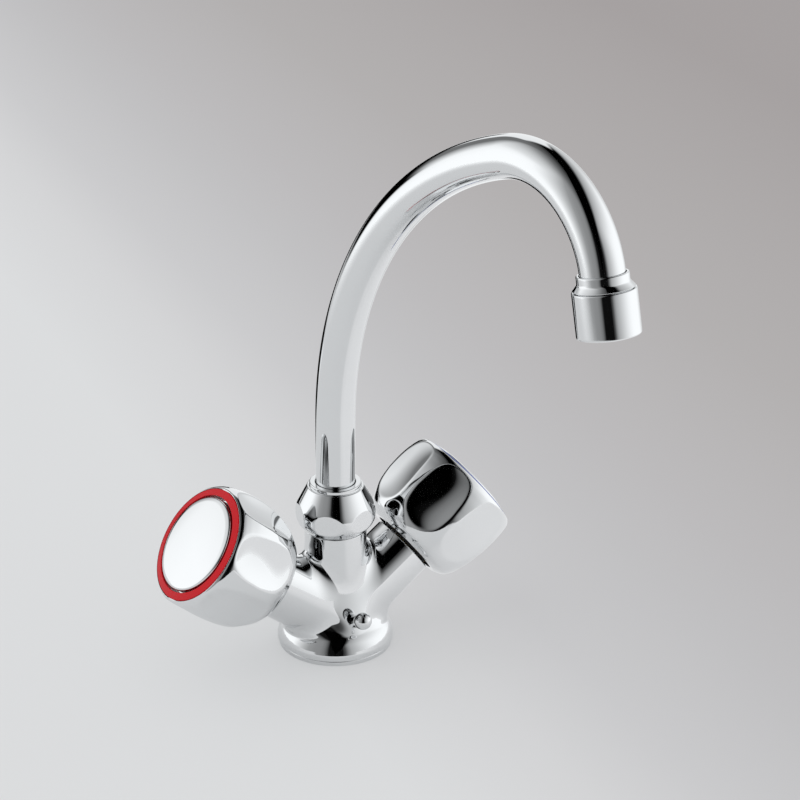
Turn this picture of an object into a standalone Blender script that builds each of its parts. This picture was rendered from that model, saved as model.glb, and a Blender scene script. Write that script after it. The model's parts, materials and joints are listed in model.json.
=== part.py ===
# Basin mixer tap with two knobs and a swan-neck swivel spout.
# Metres, +Z up. The origin is the centre of the foot on the deck, the spout leaves towards -Y,
# the hot side is at -X and the cold side at +X.

import math

import bmesh
import bpy
from mathutils import Matrix, Vector

MM = 0.001

# General clearances and cutting allowances
GAP = 0.3 * MM
OVERRUN = 2.0 * MM
MERGE = 0.01 * MM

# Roundness, as numbers of sides
BODY_STEPS = 28
ARM_STEPS = 24
KNOB_STEPS = 28
NUT_STEPS = 24
FINE_STEPS = 16
SMALL_STEPS = 12
TINY_STEPS = 8
SECTION_SIDES = 6

# Foot and column of the casting
COLUMN_R = 13.5 * MM
COLUMN_TOP = 55.1 * MM
FOOT_R = 25.4 * MM
FOOT_BAND_TOP = 4.4 * MM
SHOULDER_R = 24.6 * MM
SHOULDER_TOP = 6.2 * MM
FLARE_TOP = 27.5 * MM
FLARE_LOW_SHARES = (0.82, 0.34)
FLARE_HIGH_SHARE = 0.41
FLARE_POINTS = 5
BOSS_R = 18.0 * MM

# Ring and gasket between the foot and the deck
RING_R = 24.7 * MM
RING_HEIGHT = 2.2 * MM
RING_EDGE = 0.5 * MM
GASKET_SECTION = 3.6 * MM
GASKET_HEIGHT = 1.2 * MM

# Arms that carry the valves
ARM_ANGLE = math.radians(37.0)
ARM_CROSSING = 13.1 * MM
ARM_LENGTH = 42.3 * MM
ARM_ROOT_R = 15.1 * MM
ARM_END_R = 14.4 * MM
ARM_EDGE = 0.7 * MM

# Water ways in the casting
VALVE_BORE_R = 10.3 * MM
VALVE_BORE_DEPTH = 22.3 * MM
SEAT_BORE_R = 5.5 * MM
SEAT_LIP = 1.5 * MM
SEAT_LIP_HEIGHT = 1.4 * MM
INLET_R = 4.6 * MM
INLET_OFFSET = 9.0 * MM
STUD_HOLE_R = 3.3 * MM
STUD_HOLE_OFFSET = 12.5 * MM
STUD_HOLE_DEPTH = 11.0 * MM
PASSAGE_R = 3.6 * MM
PASSAGE_START = 3.6 * MM
COLUMN_BORE_R = 10.3 * MM
COLUMN_BORE_DEPTH = 21.0 * MM
MIXING_R = 6.4 * MM
MIXING_DEPTH = 8.0 * MM
NECK_R = 12.9 * MM
NECK_HEIGHT = 7.9 * MM

# Chain stud on the foot
CHAIN_BALL_R = 3.8 * MM
CHAIN_STEM_R = 2.9 * MM
CHAIN_REACH = 25.2 * MM
CHAIN_HEIGHT = 20.8 * MM
CHAIN_ROOT = 15.3 * MM
CHAIN_TILT = math.radians(27.0)
BALL_POINTS = 6

# Spout pipe
SWIVEL_ANGLE = math.radians(9.0)
PIPE_R = 8.5 * MM
PIPE_WALL = 1.2 * MM
PIPE_INSERT = 7.0 * MM
RISE_TOP = 106.2 * MM
RISE_BEND_R = 151.6 * MM
RISE_BEND_ANGLE = math.radians(72.3)
CROWN_BEND_R = 42.1 * MM
CROWN_BEND_ANGLE = math.radians(95.0)
PIPE_TAIL = 3.0 * MM
RISE_RINGS = 9
CROWN_RINGS = 12
PIPE_SIDES_RESOLUTION = 6

# Ferrule at the spout's foot
FERRULE_LENGTH = 18.3 * MM
FERRULE_BORE_R = 6.8 * MM
FLANGE_R = 12.3 * MM
FLANGE_HEIGHT = 2.7 * MM
SLIP_RING_HEIGHT = 1.7 * MM
ORING_SECTION_R = 0.9 * MM
ORING_PITCH = 4.5 * MM
ORING_FIRST = 3.6 * MM

# Spout nut
NUT_R = 17.4 * MM
NUT_LIFT = 0.9 * MM
NUT_HEIGHT = 21.0 * MM
NUT_FOOT_SHARE = 0.83
NUT_CHEST_SHARES = ((0.93, 0.095), (1.0, 0.26), (1.0, 0.40), (0.965, 0.475), (0.897, 0.60), (0.701, 0.914))
NUT_RIM_R = 11.2 * MM
NUT_EDGE = 0.5 * MM
NUT_FLAT = 16.15 * MM
NUT_FLAT_COUNT = 6
NUT_FLAT_PHASE = math.radians(49.1)
NUT_THREAD_GAP = 0.4 * MM

# Outlet fitting and aerator, measured outwards from the pipe's end
COLLAR_R = 9.8 * MM
COLLAR_LENGTH = 4.0 * MM
COLLAR_EDGE = 0.6 * MM
COLLAR_POINTS = 3
HOUSING_R = 12.06 * MM
HOUSING_START = 1.9 * MM
HOUSING_LENGTH = 17.0 * MM
HOUSING_EDGE = 0.5 * MM
HOUSING_WALL = 1.2 * MM
HOUSING_LIP = 1.8 * MM
HOUSING_LIP_DEPTH = 1.4 * MM
FITTING_THREAD_LENGTH = 8.0 * MM
AERATOR_WASHER_HEIGHT = 0.9 * MM
INSERT_PLATE = 1.6 * MM
INSERT_WALL = 1.0 * MM
INSERT_HOLE_R = 0.8 * MM
INSERT_RINGS = ((4, 0.34), (8, 0.74))

# Headwork, measured along the arm from the arm's end
BONNET_INSERT = 15.3 * MM
SEAL_HEIGHT = 1.0 * MM
HEX_R = 12.6 * MM
HEX_HEIGHT = 4.1 * MM
BONNET_NECK_R = 7.5 * MM
BONNET_NECK = 6.0 * MM
SOCKET_R = 8.9 * MM
SOCKET_DEPTH = 8.0 * MM
DRUM_R = 6.0 * MM
DRUM_LENGTH = 11.3 * MM
SHANK_R = 4.2 * MM
SPLINE_R = 3.9 * MM
CLIP_R = 6.6 * MM
CLIP_HEIGHT = 1.0 * MM
CLIP_GROOVE = 0.9 * MM
CLIP_OPENING_SHARE = 1.1
SPINDLE_RING_PLACE = 3.2 * MM
SPINDLE_RING_HEIGHT = 1.6 * MM
SPINDLE_RING_DEPTH = 1.1 * MM
SPINDLE_THREAD_R = 3.3 * MM
SPINDLE_THREAD_DEPTH = 10.8 * MM
TAPPED_R = 2.2 * MM
TAPPED_DEPTH = 10.0 * MM

# Plunger and washer
WASHER_R = 7.4 * MM
WASHER_HEIGHT = 3.0 * MM
PLUNGER_HEAD = 7.0 * MM
PLUNGER_STEM = 10.5 * MM
PLUNGER_BORE = 4.5 * MM
PLUNGER_PLAY = 0.42 * MM
WASHER_SCREW_R = 1.2 * MM
WASHER_SCREW_HEAD_R = 3.0 * MM
WASHER_SCREW_HEAD = 1.3 * MM

# Knob, measured along the arm from the knob's rear rim
KNOB_R = 28.6 * MM
KNOB_LENGTH = 39.2 * MM
KNOB_CLEARANCE = 0.8 * MM
KNOB_OPENING_PLAY = 3.0 * MM
KNOB_RIM_WIDTH = 2.42 * MM
KNOB_SWELL_SHARES = (
    (0.0, 0.0), (0.2836, 0.036), (0.459, 0.08), (0.638, 0.166), (0.851, 0.30), (0.989, 0.475),
    (1.0, 0.72), (0.941, 0.84), (0.811, 0.956),
)
KNOB_LIP_SHARE = 0.7306
KNOB_UNDERCUT = 1.0 * MM
KNOB_WALL = 2.2 * MM
KNOB_REAR_LIP = 2.0 * MM
KNOB_FRONT_WALL = 4.0 * MM
KNOB_HUB_R = 8.0 * MM
KNOB_HUB_FLOOR = 2.3 * MM
FACE_DEPTH = 3.1 * MM
CAVITY_STATION_SHARES = (0.19, 0.40)
FLAT_COUNT = 7
FLAT_STATION_SHARES = (0.205, 0.60, 0.93)
FLAT_DISTANCE_SHARES = (0.887, 0.933, 0.938)
FLAT_POINTS = 5
HOT_FLAT_PHASE = math.radians(21.0)
COLD_FLAT_PHASE = math.radians(313.75)
SCREW_WELL_R = 6.0 * MM
SCREW_WELL_DEPTH = 2.7 * MM
SCREW_HEAD_R = 5.0 * MM
SCREW_HEAD_HEIGHT = 2.2 * MM
SCREW_R = 1.9 * MM
SCREW_REACH = 8.0 * MM
SCREW_SLOT = 1.2 * MM
SCREW_SLOT_DEPTH = 1.0 * MM

# Index ring and cap in the knob's face
INDEX_WIDTH = 3.45 * MM
INDEX_HEIGHT = 2.9 * MM
INDEX_SLOPE = 0.35 * MM
CAP_GROOVE = 0.6 * MM
CAP_EDGE_HEIGHT = 4.1 * MM
CAP_DOME = 1.3 * MM
CAP_WALL = 1.2 * MM
CAP_EDGE = 0.7 * MM
CAP_POINTS = 2

# Places that follow from the sizes above
FOOT_BOTTOM = RING_HEIGHT + GAP
SEAT_DISTANCE = ARM_LENGTH - VALVE_BORE_DEPTH
NECK_TOP = COLUMN_TOP + NECK_HEIGHT
FERRULE_R = COLUMN_BORE_R - 2 * GAP
FERRULE_BOTTOM = NECK_TOP + GAP - FERRULE_LENGTH
FLANGE_TOP = NECK_TOP + GAP + FLANGE_HEIGHT
SLIP_RING_TOP = FLANGE_TOP + GAP + SLIP_RING_HEIGHT
NUT_BOTTOM = COLUMN_TOP + NUT_LIFT
NUT_TOP = NUT_BOTTOM + NUT_HEIGHT
PIPE_BOTTOM = NECK_TOP + GAP - PIPE_INSERT
BEND_TOTAL = RISE_BEND_ANGLE + CROWN_BEND_ANGLE
KNOB_REAR = ARM_LENGTH + KNOB_CLEARANCE
KNOB_OPENING_R = HEX_R + KNOB_OPENING_PLAY
KNOB_REAR_R = KNOB_OPENING_R + KNOB_RIM_WIDTH
KNOB_LIP_R = KNOB_REAR_R + (KNOB_R - KNOB_REAR_R) * KNOB_LIP_SHARE
FACE_R = KNOB_LIP_R - GAP
CAP_R = FACE_R - GAP - INDEX_WIDTH - CAP_GROOVE
FACE_FLOOR = KNOB_REAR + KNOB_LENGTH - FACE_DEPTH
WELL_FLOOR = FACE_FLOOR - SCREW_WELL_DEPTH
WALL_REAR = FACE_FLOOR - KNOB_FRONT_WALL
HEX_BOTTOM = ARM_LENGTH + GAP + SEAL_HEIGHT + GAP
HEX_TOP = HEX_BOTTOM + HEX_HEIGHT
BONNET_TOP = HEX_TOP + BONNET_NECK
BONNET_BOTTOM = ARM_LENGTH - BONNET_INSERT
BONNET_R = VALVE_BORE_R - GAP
SOCKET_TOP = BONNET_BOTTOM + SOCKET_DEPTH
DRUM_BOTTOM = SOCKET_TOP + GAP
DRUM_TOP = DRUM_BOTTOM + DRUM_LENGTH
CLIP_BOTTOM = BONNET_TOP + GAP
HUB_BOTTOM = CLIP_BOTTOM + CLIP_HEIGHT + 2 * GAP
SPINDLE_TOP = WELL_FLOOR - KNOB_HUB_FLOOR - GAP
WASHER_BOTTOM = SEAT_DISTANCE + GAP
PLUNGER_BOTTOM = WASHER_BOTTOM + WASHER_HEIGHT + GAP
PLUNGER_SHOULDER = PLUNGER_BOTTOM + PLUNGER_HEAD


# Collections

def clear_scene():
    for old in list(bpy.data.objects):
        bpy.data.objects.remove(old, do_unlink=True)


def new_collection(name):
    group = bpy.data.collections.new(name)
    bpy.context.scene.collection.children.link(group)
    return group


clear_scene()
parts = new_collection("basin_mixer_tap")
cutters = new_collection("cutters")


# Materials

def finish(name, colour, roughness, metallic):
    made = bpy.data.materials.new(name)
    made.use_nodes = True
    shader = made.node_tree.nodes["Principled BSDF"]
    shader.inputs["Base Color"].default_value = (*colour, 1.0)
    shader.inputs["Roughness"].default_value = roughness
    shader.inputs["Metallic"].default_value = metallic
    made.diffuse_color = (*colour, 1.0)
    return made


FINISHES = {
    "chrome": ((0.78, 0.79, 0.80), 0.06, 1.0),
    "brass": ((0.72, 0.55, 0.28), 0.30, 1.0),
    "steel": ((0.60, 0.60, 0.61), 0.30, 1.0),
    "rubber": ((0.03, 0.03, 0.03), 0.75, 0.0),
    "red_plastic": ((0.60, 0.03, 0.05), 0.30, 0.0),
    "blue_plastic": ((0.03, 0.12, 0.55), 0.30, 0.0),
    "white_plastic": ((0.80, 0.80, 0.78), 0.40, 0.0),
}


# Frames that carry the pieces

def frame(name, place, turn=(0.0, 0.0, 0.0), parent=None):
    empty = bpy.data.objects.new(name, None)
    parts.objects.link(empty)
    empty.location = place
    empty.rotation_euler = turn
    empty.parent = parent
    return empty


# Object helpers

def add(name, mesh, kind, parent=None, place=(0.0, 0.0, 0.0), turn=(0.0, 0.0, 0.0)):
    made = bpy.data.objects.new(name, mesh)
    made.location = place
    made.rotation_euler = turn
    made.parent = parent
    if kind is None:
        cutters.objects.link(made)
        made.hide_render = True
        made.display_type = "WIRE"
    else:
        parts.objects.link(made)
        mesh.materials.append(finish(name, *FINISHES[kind]))
    return made


def turned(name, outline, steps, kind, parent=None, ring=False, **at):
    """a profile in the XZ plane, outer side from top to bottom, turned about Z"""
    mesh = bpy.data.meshes.new(name)
    corners = [(radius, 0.0, height) for radius, height in outline]
    edges = [(i, i + 1) for i in range(len(corners) - 1)]
    if ring:
        edges.append((len(corners) - 1, 0))
    mesh.from_pydata(corners, edges, [])
    made = add(name, mesh, kind, parent, **at)
    screw = made.modifiers.new("turn", "SCREW")
    screw.axis = "Z"
    screw.steps = steps
    screw.render_steps = steps
    screw.use_merge_vertices = True
    screw.merge_threshold = MERGE
    screw.use_smooth_shade = True
    return made


def rod(name, radius, bottom, top, sides, kind, parent=None, **at):
    """a straight round or many-sided bar between two heights"""
    shape = bmesh.new()
    middle = Matrix.Translation((0.0, 0.0, (bottom + top) / 2))
    bmesh.ops.create_cone(
        shape, cap_ends=True, segments=sides, radius1=radius, radius2=radius,
        depth=top - bottom, matrix=middle
    )
    mesh = bpy.data.meshes.new(name)
    shape.to_mesh(mesh)
    shape.free()
    return add(name, mesh, kind, parent, **at)


def block(name, size, centre, kind, parent=None, **at):
    shape = bmesh.new()
    bmesh.ops.create_cube(shape, size=1.0)
    bmesh.ops.scale(shape, vec=size, verts=shape.verts)
    bmesh.ops.translate(shape, vec=centre, verts=shape.verts)
    mesh = bpy.data.meshes.new(name)
    shape.to_mesh(mesh)
    shape.free()
    return add(name, mesh, kind, parent, **at)


def combine(target, tool, operation):
    step = target.modifiers.new(tool.name, "BOOLEAN")
    step.object = tool
    step.operation = operation
    step.solver = "EXACT"


def cut(target, *tools):
    for tool in tools:
        combine(target, tool, "DIFFERENCE")


def join(target, *tools):
    for tool in tools:
        combine(target, tool, "UNION")


def bezier(first, first_pull, last_pull, last, count):
    """points of a cubic curve between two places"""
    points = []
    for i in range(count + 1):
        t = i / count
        u = 1 - t
        weights = (u * u * u, 3 * u * u * t, 3 * u * t * t, t * t * t)
        corners = (first, first_pull, last_pull, last)
        points.append(tuple(sum(w * c[k] for w, c in zip(weights, corners)) for k in (0, 1)))
    return points


# Frames: the spout's swivel axis, the outlet, and the two valve axes

swivel = frame("spout_axis", (0.0, 0.0, 0.0), (0.0, 0.0, SWIVEL_ANGLE))
valve_axis = {
    "hot": frame("hot_axis", (0.0, 0.0, ARM_CROSSING), (0.0, ARM_ANGLE - math.pi / 2, 0.0)),
    "cold": frame("cold_axis", (0.0, 0.0, ARM_CROSSING), (0.0, math.pi / 2 - ARM_ANGLE, 0.0)),
}


# Casting

def casting_profile():
    neck = [(0.0, NECK_TOP), (NECK_R - GAP, NECK_TOP), (NECK_R, NECK_TOP - GAP), (NECK_R, COLUMN_TOP)]
    column = [(COLUMN_R - GAP, COLUMN_TOP), (COLUMN_R, COLUMN_TOP - GAP)]
    low_r = COLUMN_R + (SHOULDER_R - COLUMN_R) * FLARE_LOW_SHARES[0]
    low_z = SHOULDER_TOP + (FLARE_TOP - SHOULDER_TOP) * FLARE_LOW_SHARES[1]
    high_z = SHOULDER_TOP + (FLARE_TOP - SHOULDER_TOP) * FLARE_HIGH_SHARE
    shoulder = (SHOULDER_R, SHOULDER_TOP)
    flare = bezier((COLUMN_R, FLARE_TOP), (COLUMN_R, high_z), (low_r, low_z), shoulder, FLARE_POINTS)
    foot = [(FOOT_R, FOOT_BAND_TOP), (FOOT_R, FOOT_BOTTOM + GAP), (FOOT_R - GAP, FOOT_BOTTOM)]
    boss = [(BOSS_R, FOOT_BOTTOM), (BOSS_R, GAP), (BOSS_R - GAP, 0.0), (0.0, 0.0)]
    return neck + column + flare + foot + boss


def arm_blank(side):
    """one arm, a slightly tapered bar with a softened end"""
    outline = [
        (0.0, ARM_LENGTH), (ARM_END_R - ARM_EDGE, ARM_LENGTH), (ARM_END_R, ARM_LENGTH - ARM_EDGE),
        (ARM_ROOT_R, 0.0), (0.0, 0.0),
    ]
    return turned(side + "_arm_blank", outline, ARM_STEPS, None, valve_axis[side])


def valve_bore(side):
    """the bore for the headwork, the raised seat at its floor and the hole in the seat"""
    top = ARM_LENGTH + OVERRUN
    lip_r = SEAT_BORE_R + SEAT_LIP
    floor = SEAT_DISTANCE - SEAT_LIP_HEIGHT
    outline = [
        (0.0, top), (VALVE_BORE_R, top), (VALVE_BORE_R, floor), (lip_r, floor), (lip_r, SEAT_DISTANCE),
        (SEAT_BORE_R, SEAT_DISTANCE), (SEAT_BORE_R, INLET_OFFSET), (0.0, INLET_OFFSET),
    ]
    return turned(side + "_valve_bore", outline, FINE_STEPS, None, valve_axis[side])


def passage(side, sign):
    """the slanting way from the valve chamber to the mixing bore in the column"""
    along = SEAT_DISTANCE + PASSAGE_START
    start = Vector((sign * along * math.cos(ARM_ANGLE), 0.0, ARM_CROSSING + along * math.sin(ARM_ANGLE)))
    end = Vector((0.0, 0.0, NECK_TOP - COLUMN_BORE_DEPTH - MIXING_DEPTH / 2))
    way = end - start
    tool = rod(side + "_passage", PASSAGE_R, 0.0, way.length, TINY_STEPS, None)
    tool.location = start
    tool.rotation_euler = way.to_track_quat("Z", "Y").to_euler()
    return tool


def chain_frame():
    """stands at the ball's centre with Z outwards along the stud"""
    turn = (math.pi / 2 - CHAIN_TILT, 0.0, 0.0)
    return frame("chain_stud_axis", (0.0, -CHAIN_REACH, CHAIN_HEIGHT), turn)


def water_ways(chain_axis):
    """every bore and hole of the casting as one cutter"""
    bore_bottom = NECK_TOP - COLUMN_BORE_DEPTH
    mixing_bottom = bore_bottom - MIXING_DEPTH
    outline = [
        (0.0, NECK_TOP + OVERRUN), (COLUMN_BORE_R, NECK_TOP + OVERRUN), (COLUMN_BORE_R, bore_bottom),
        (MIXING_R, bore_bottom), (MIXING_R, mixing_bottom), (0.0, mixing_bottom),
    ]
    ways = turned("water_ways", outline, FINE_STEPS, None)
    for side, sign in (("hot", -1), ("cold", 1)):
        inlet_top = ARM_CROSSING + INLET_OFFSET * math.tan(ARM_ANGLE)
        place = (sign * INLET_OFFSET, 0.0, 0.0)
        inlet = rod(side + "_inlet", INLET_R, -OVERRUN, inlet_top, SMALL_STEPS, None, place=place)
        join(ways, valve_bore(side), inlet, passage(side, sign))
    place = (0.0, STUD_HOLE_OFFSET, 0.0)
    stud_hole = rod("stud_hole", STUD_HOLE_R, -OVERRUN, STUD_HOLE_DEPTH, SMALL_STEPS, None, place=place)
    chain_hole = rod("chain_hole", CHAIN_STEM_R + GAP, -CHAIN_ROOT - GAP, 0.0, SMALL_STEPS, None, chain_axis)
    join(ways, stud_hole, chain_hole)
    return ways


def make_casting(chain_axis):
    body = turned("body_casting", casting_profile(), BODY_STEPS, "chrome")
    join(body, arm_blank("hot"), arm_blank("cold"))
    cut(body, water_ways(chain_axis))
    return body


def make_base():
    """the thin ring that shows under the foot, and the gasket in its groove"""
    inner = BOSS_R + GAP
    groove_out = (RING_R + inner + GASKET_SECTION) / 2 + GAP
    groove_in = groove_out - GASKET_SECTION - 2 * GAP
    groove_top = GASKET_HEIGHT + GAP
    outline = [
        (RING_R - RING_EDGE, RING_HEIGHT), (RING_R, RING_HEIGHT - RING_EDGE), (RING_R, 0.0),
        (groove_out, 0.0), (groove_out, groove_top), (groove_in, groove_top),
        (groove_in, 0.0), (inner, 0.0), (inner, RING_HEIGHT),
    ]
    turned("base_ring", outline, BODY_STEPS, "chrome", ring=True)
    outline = [
        (groove_out - GAP, GASKET_HEIGHT), (groove_out - GAP, 0.0), (groove_in + GAP, 0.0),
        (groove_in + GAP, GASKET_HEIGHT),
    ]
    turned("base_gasket", outline, BODY_STEPS, "rubber", ring=True)


def make_chain_stud(chain_axis):
    """a ball on a stem that goes into the foot"""
    touch = math.asin(CHAIN_STEM_R / CHAIN_BALL_R)
    outline = []
    for i in range(BALL_POINTS + 1):
        angle = (math.pi - touch) * i / BALL_POINTS
        outline.append((CHAIN_BALL_R * math.sin(angle), CHAIN_BALL_R * math.cos(angle)))
    outline += [(CHAIN_STEM_R, -CHAIN_ROOT), (0.0, -CHAIN_ROOT)]
    turned("chain_stud", outline, SMALL_STEPS, "chrome", chain_axis)


# Spout nut, ferrule and rings at the spout's foot

def make_nut():
    chest = [(NUT_R * r, NUT_BOTTOM + NUT_HEIGHT * z) for r, z in reversed(NUT_CHEST_SHARES)]
    outline = [(NUT_RIM_R - NUT_EDGE, NUT_TOP), (NUT_RIM_R, NUT_TOP - NUT_EDGE), (NUT_RIM_R, chest[0][1])]
    outline += chest
    thread_r = NECK_R + NUT_THREAD_GAP
    shoulder = SLIP_RING_TOP + GAP
    outline += [
        (NUT_R * NUT_FOOT_SHARE, NUT_BOTTOM), (thread_r, NUT_BOTTOM), (thread_r, shoulder),
        (PIPE_R + GAP, shoulder), (PIPE_R + GAP, NUT_TOP),
    ]
    nut = turned("spout_nut", outline, NUT_STEPS, "chrome", ring=True)
    corner_r = NUT_FLAT / math.cos(math.pi / NUT_FLAT_COUNT)
    turn = (0.0, 0.0, NUT_FLAT_PHASE + math.pi / NUT_FLAT_COUNT)
    hexagon = rod(
        "nut_hexagon", corner_r, NUT_BOTTOM - OVERRUN, NUT_TOP + OVERRUN, NUT_FLAT_COUNT, None, turn=turn
    )
    combine(nut, hexagon, "INTERSECT")
    return nut


def oring_heights():
    return [FERRULE_BOTTOM + ORING_FIRST + i * ORING_PITCH for i in (0, 1)]


def make_ferrule():
    groove_r = COLUMN_BORE_R - 2 * GAP - 2 * ORING_SECTION_R
    half = ORING_SECTION_R + GAP
    outline = [(FLANGE_R, FLANGE_TOP), (FLANGE_R, NECK_TOP + GAP), (FERRULE_R, NECK_TOP + GAP)]
    for z in reversed(oring_heights()):
        outline += [(FERRULE_R, z + half), (groove_r, z + half), (groove_r, z - half), (FERRULE_R, z - half)]
    socket_r = PIPE_R + GAP
    outline += [
        (FERRULE_R, FERRULE_BOTTOM), (FERRULE_BORE_R, FERRULE_BOTTOM), (FERRULE_BORE_R, PIPE_BOTTOM - GAP),
        (socket_r, PIPE_BOTTOM - GAP), (socket_r, FLANGE_TOP),
    ]
    turned("spout_ferrule", outline, FINE_STEPS, "brass", swivel, ring=True)


def make_spout_rings():
    outer = COLUMN_BORE_R - GAP
    middle_r = outer - ORING_SECTION_R
    for name, z in zip(("spout_oring_lower", "spout_oring_upper"), oring_heights()):
        outline = []
        for i in range(SECTION_SIDES):
            angle = math.pi / 2 - 2 * math.pi * i / SECTION_SIDES
            out = ORING_SECTION_R * math.cos(angle)
            outline.append((middle_r + out, z + ORING_SECTION_R * math.sin(angle)))
        turned(name, outline, FINE_STEPS, "rubber", swivel, ring=True)
    low = FLANGE_TOP + GAP
    inner = PIPE_R + GAP
    outline = [(FLANGE_R, SLIP_RING_TOP), (FLANGE_R, low), (inner, low), (inner, SLIP_RING_TOP)]
    turned("spout_slip_ring", outline, FINE_STEPS, "white_plastic", swivel, ring=True)


# Spout pipe

def spout_path(start, tail):
    """centre line in the swivel frame, from a height on the axis to a distance past the bends"""
    points = [Vector((0.0, 0.0, start)), Vector((0.0, 0.0, RISE_TOP))]
    bends = ((RISE_BEND_R, RISE_BEND_ANGLE, RISE_RINGS), (CROWN_BEND_R, CROWN_BEND_ANGLE, CROWN_RINGS))
    heading = 0.0
    for radius, sweep, rings in bends:
        centre = points[-1] - radius * Vector((0.0, math.cos(heading), math.sin(heading)))
        for i in range(1, rings + 1):
            angle = heading + sweep * i / rings
            points.append(centre + radius * Vector((0.0, math.cos(angle), math.sin(angle))))
        heading += sweep
    ahead = Vector((0.0, -math.sin(heading), math.cos(heading)))
    points.append(points[-1] + tail * ahead)
    return points


def pipe_mesh(name, radius, start, tail):
    """a round bar along the spout's path, as a mesh with welded caps"""
    line = bpy.data.curves.new(name, "CURVE")
    line.dimensions = "3D"
    line.bevel_depth = radius
    line.bevel_resolution = PIPE_SIDES_RESOLUTION
    line.use_fill_caps = True
    points = spout_path(start, tail)
    spline = line.splines.new("POLY")
    spline.points.add(len(points) - 1)
    for target, point in zip(spline.points, points):
        target.co = (*point, 1.0)
    guide = bpy.data.objects.new(name + "_path", line)
    cutters.objects.link(guide)
    guide.parent = swivel
    bpy.context.view_layer.update()
    evaluated = guide.evaluated_get(bpy.context.evaluated_depsgraph_get())
    mesh = bpy.data.meshes.new_from_object(evaluated)
    mesh.name = name
    mesh.materials.clear()
    shape = bmesh.new()
    shape.from_mesh(mesh)
    bmesh.ops.remove_doubles(shape, verts=shape.verts, dist=MERGE)
    shape.to_mesh(mesh)
    shape.free()
    place = guide.matrix_world.copy()
    bpy.data.objects.remove(guide, do_unlink=True)
    return mesh, place


def make_pipe():
    mesh, place = pipe_mesh("spout_tube", PIPE_R, PIPE_BOTTOM, PIPE_TAIL)
    pipe = add("spout_tube", mesh, "chrome")
    pipe.matrix_world = place
    mesh, place = pipe_mesh("pipe_bore", PIPE_R - PIPE_WALL, PIPE_BOTTOM - OVERRUN, PIPE_TAIL + OVERRUN)
    bore = add("pipe_bore", mesh, None)
    bore.matrix_world = place
    cut(pipe, bore)
    pipe.data.shade_smooth()
    return pipe


# Outlet

def outlet_frame():
    """stands at the pipe's end with Z outwards along the pipe"""
    return frame("outlet_axis", spout_path(PIPE_BOTTOM, PIPE_TAIL)[-1], (BEND_TOTAL, 0.0, 0.0), swivel)


def make_outlet(outlet):
    inner_r = HOUSING_R - HOUSING_WALL
    thread_r = inner_r - GAP
    thread_top = HOUSING_START + FITTING_THREAD_LENGTH
    shoulder_r = HOUSING_R - HOUSING_EDGE
    socket_r = PIPE_R + GAP
    water_r = PIPE_R - PIPE_WALL
    # from the thread's end back to the collar
    flare_low = HOUSING_START - GAP
    half = HOUSING_START / 2
    shoulder = (shoulder_r, flare_low)
    flare = bezier(shoulder, (shoulder_r, -GAP), (COLLAR_R, half), (COLLAR_R, -half), COLLAR_POINTS)
    outline = [(thread_r, thread_top), (thread_r, flare_low)] + flare
    outline += [
        (COLLAR_R, COLLAR_EDGE - COLLAR_LENGTH), (COLLAR_R - COLLAR_EDGE, -COLLAR_LENGTH),
        (socket_r, -COLLAR_LENGTH), (socket_r, GAP), (water_r, GAP), (water_r, thread_top),
    ]
    turned("outlet_fitting", outline, NUT_STEPS, "chrome", outlet, ring=True)

    housing_top = HOUSING_START + HOUSING_LENGTH
    lip_r = inner_r - HOUSING_LIP
    lip_top = housing_top - HOUSING_LIP_DEPTH
    outline = [
        (HOUSING_R - HOUSING_EDGE, housing_top), (HOUSING_R, housing_top - HOUSING_EDGE),
        (HOUSING_R, HOUSING_START + HOUSING_EDGE), (HOUSING_R - HOUSING_EDGE, HOUSING_START),
        (inner_r, HOUSING_START), (inner_r, lip_top), (lip_r, lip_top), (lip_r, housing_top),
    ]
    turned("aerator_housing", outline, NUT_STEPS, "chrome", outlet, ring=True)

    washer_low = thread_top + GAP
    washer_high = washer_low + AERATOR_WASHER_HEIGHT
    outline = [
        (thread_r, washer_high), (thread_r, washer_low), (water_r, washer_low), (water_r, washer_high),
    ]
    turned("aerator_washer", outline, FINE_STEPS, "rubber", outlet, ring=True)

    insert_low = washer_high + GAP
    insert_high = lip_top - GAP
    cup_r = thread_r - INSERT_WALL
    outline = [
        (0.0, insert_high), (thread_r, insert_high), (thread_r, insert_low), (cup_r, insert_low),
        (cup_r, insert_high - INSERT_PLATE), (0.0, insert_high - INSERT_PLATE),
    ]
    insert = turned("aerator_insert", outline, FINE_STEPS, "white_plastic", outlet)
    holes = bmesh.new()
    for count, share in INSERT_RINGS:
        for i in range(count):
            turn = Matrix.Rotation(2 * math.pi * i / count, 4, "Z")
            shift = Matrix.Translation((lip_r * share, 0.0, insert_high - INSERT_PLATE / 2))
            bmesh.ops.create_cone(
                holes, cap_ends=True, segments=SECTION_SIDES, radius1=INSERT_HOLE_R, radius2=INSERT_HOLE_R,
                depth=INSERT_PLATE + 2 * GAP, matrix=turn @ shift
            )
    mesh = bpy.data.meshes.new("insert_holes")
    holes.to_mesh(mesh)
    holes.free()
    cut(insert, add("insert_holes", mesh, None, outlet))


# Headwork of one side

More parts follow.
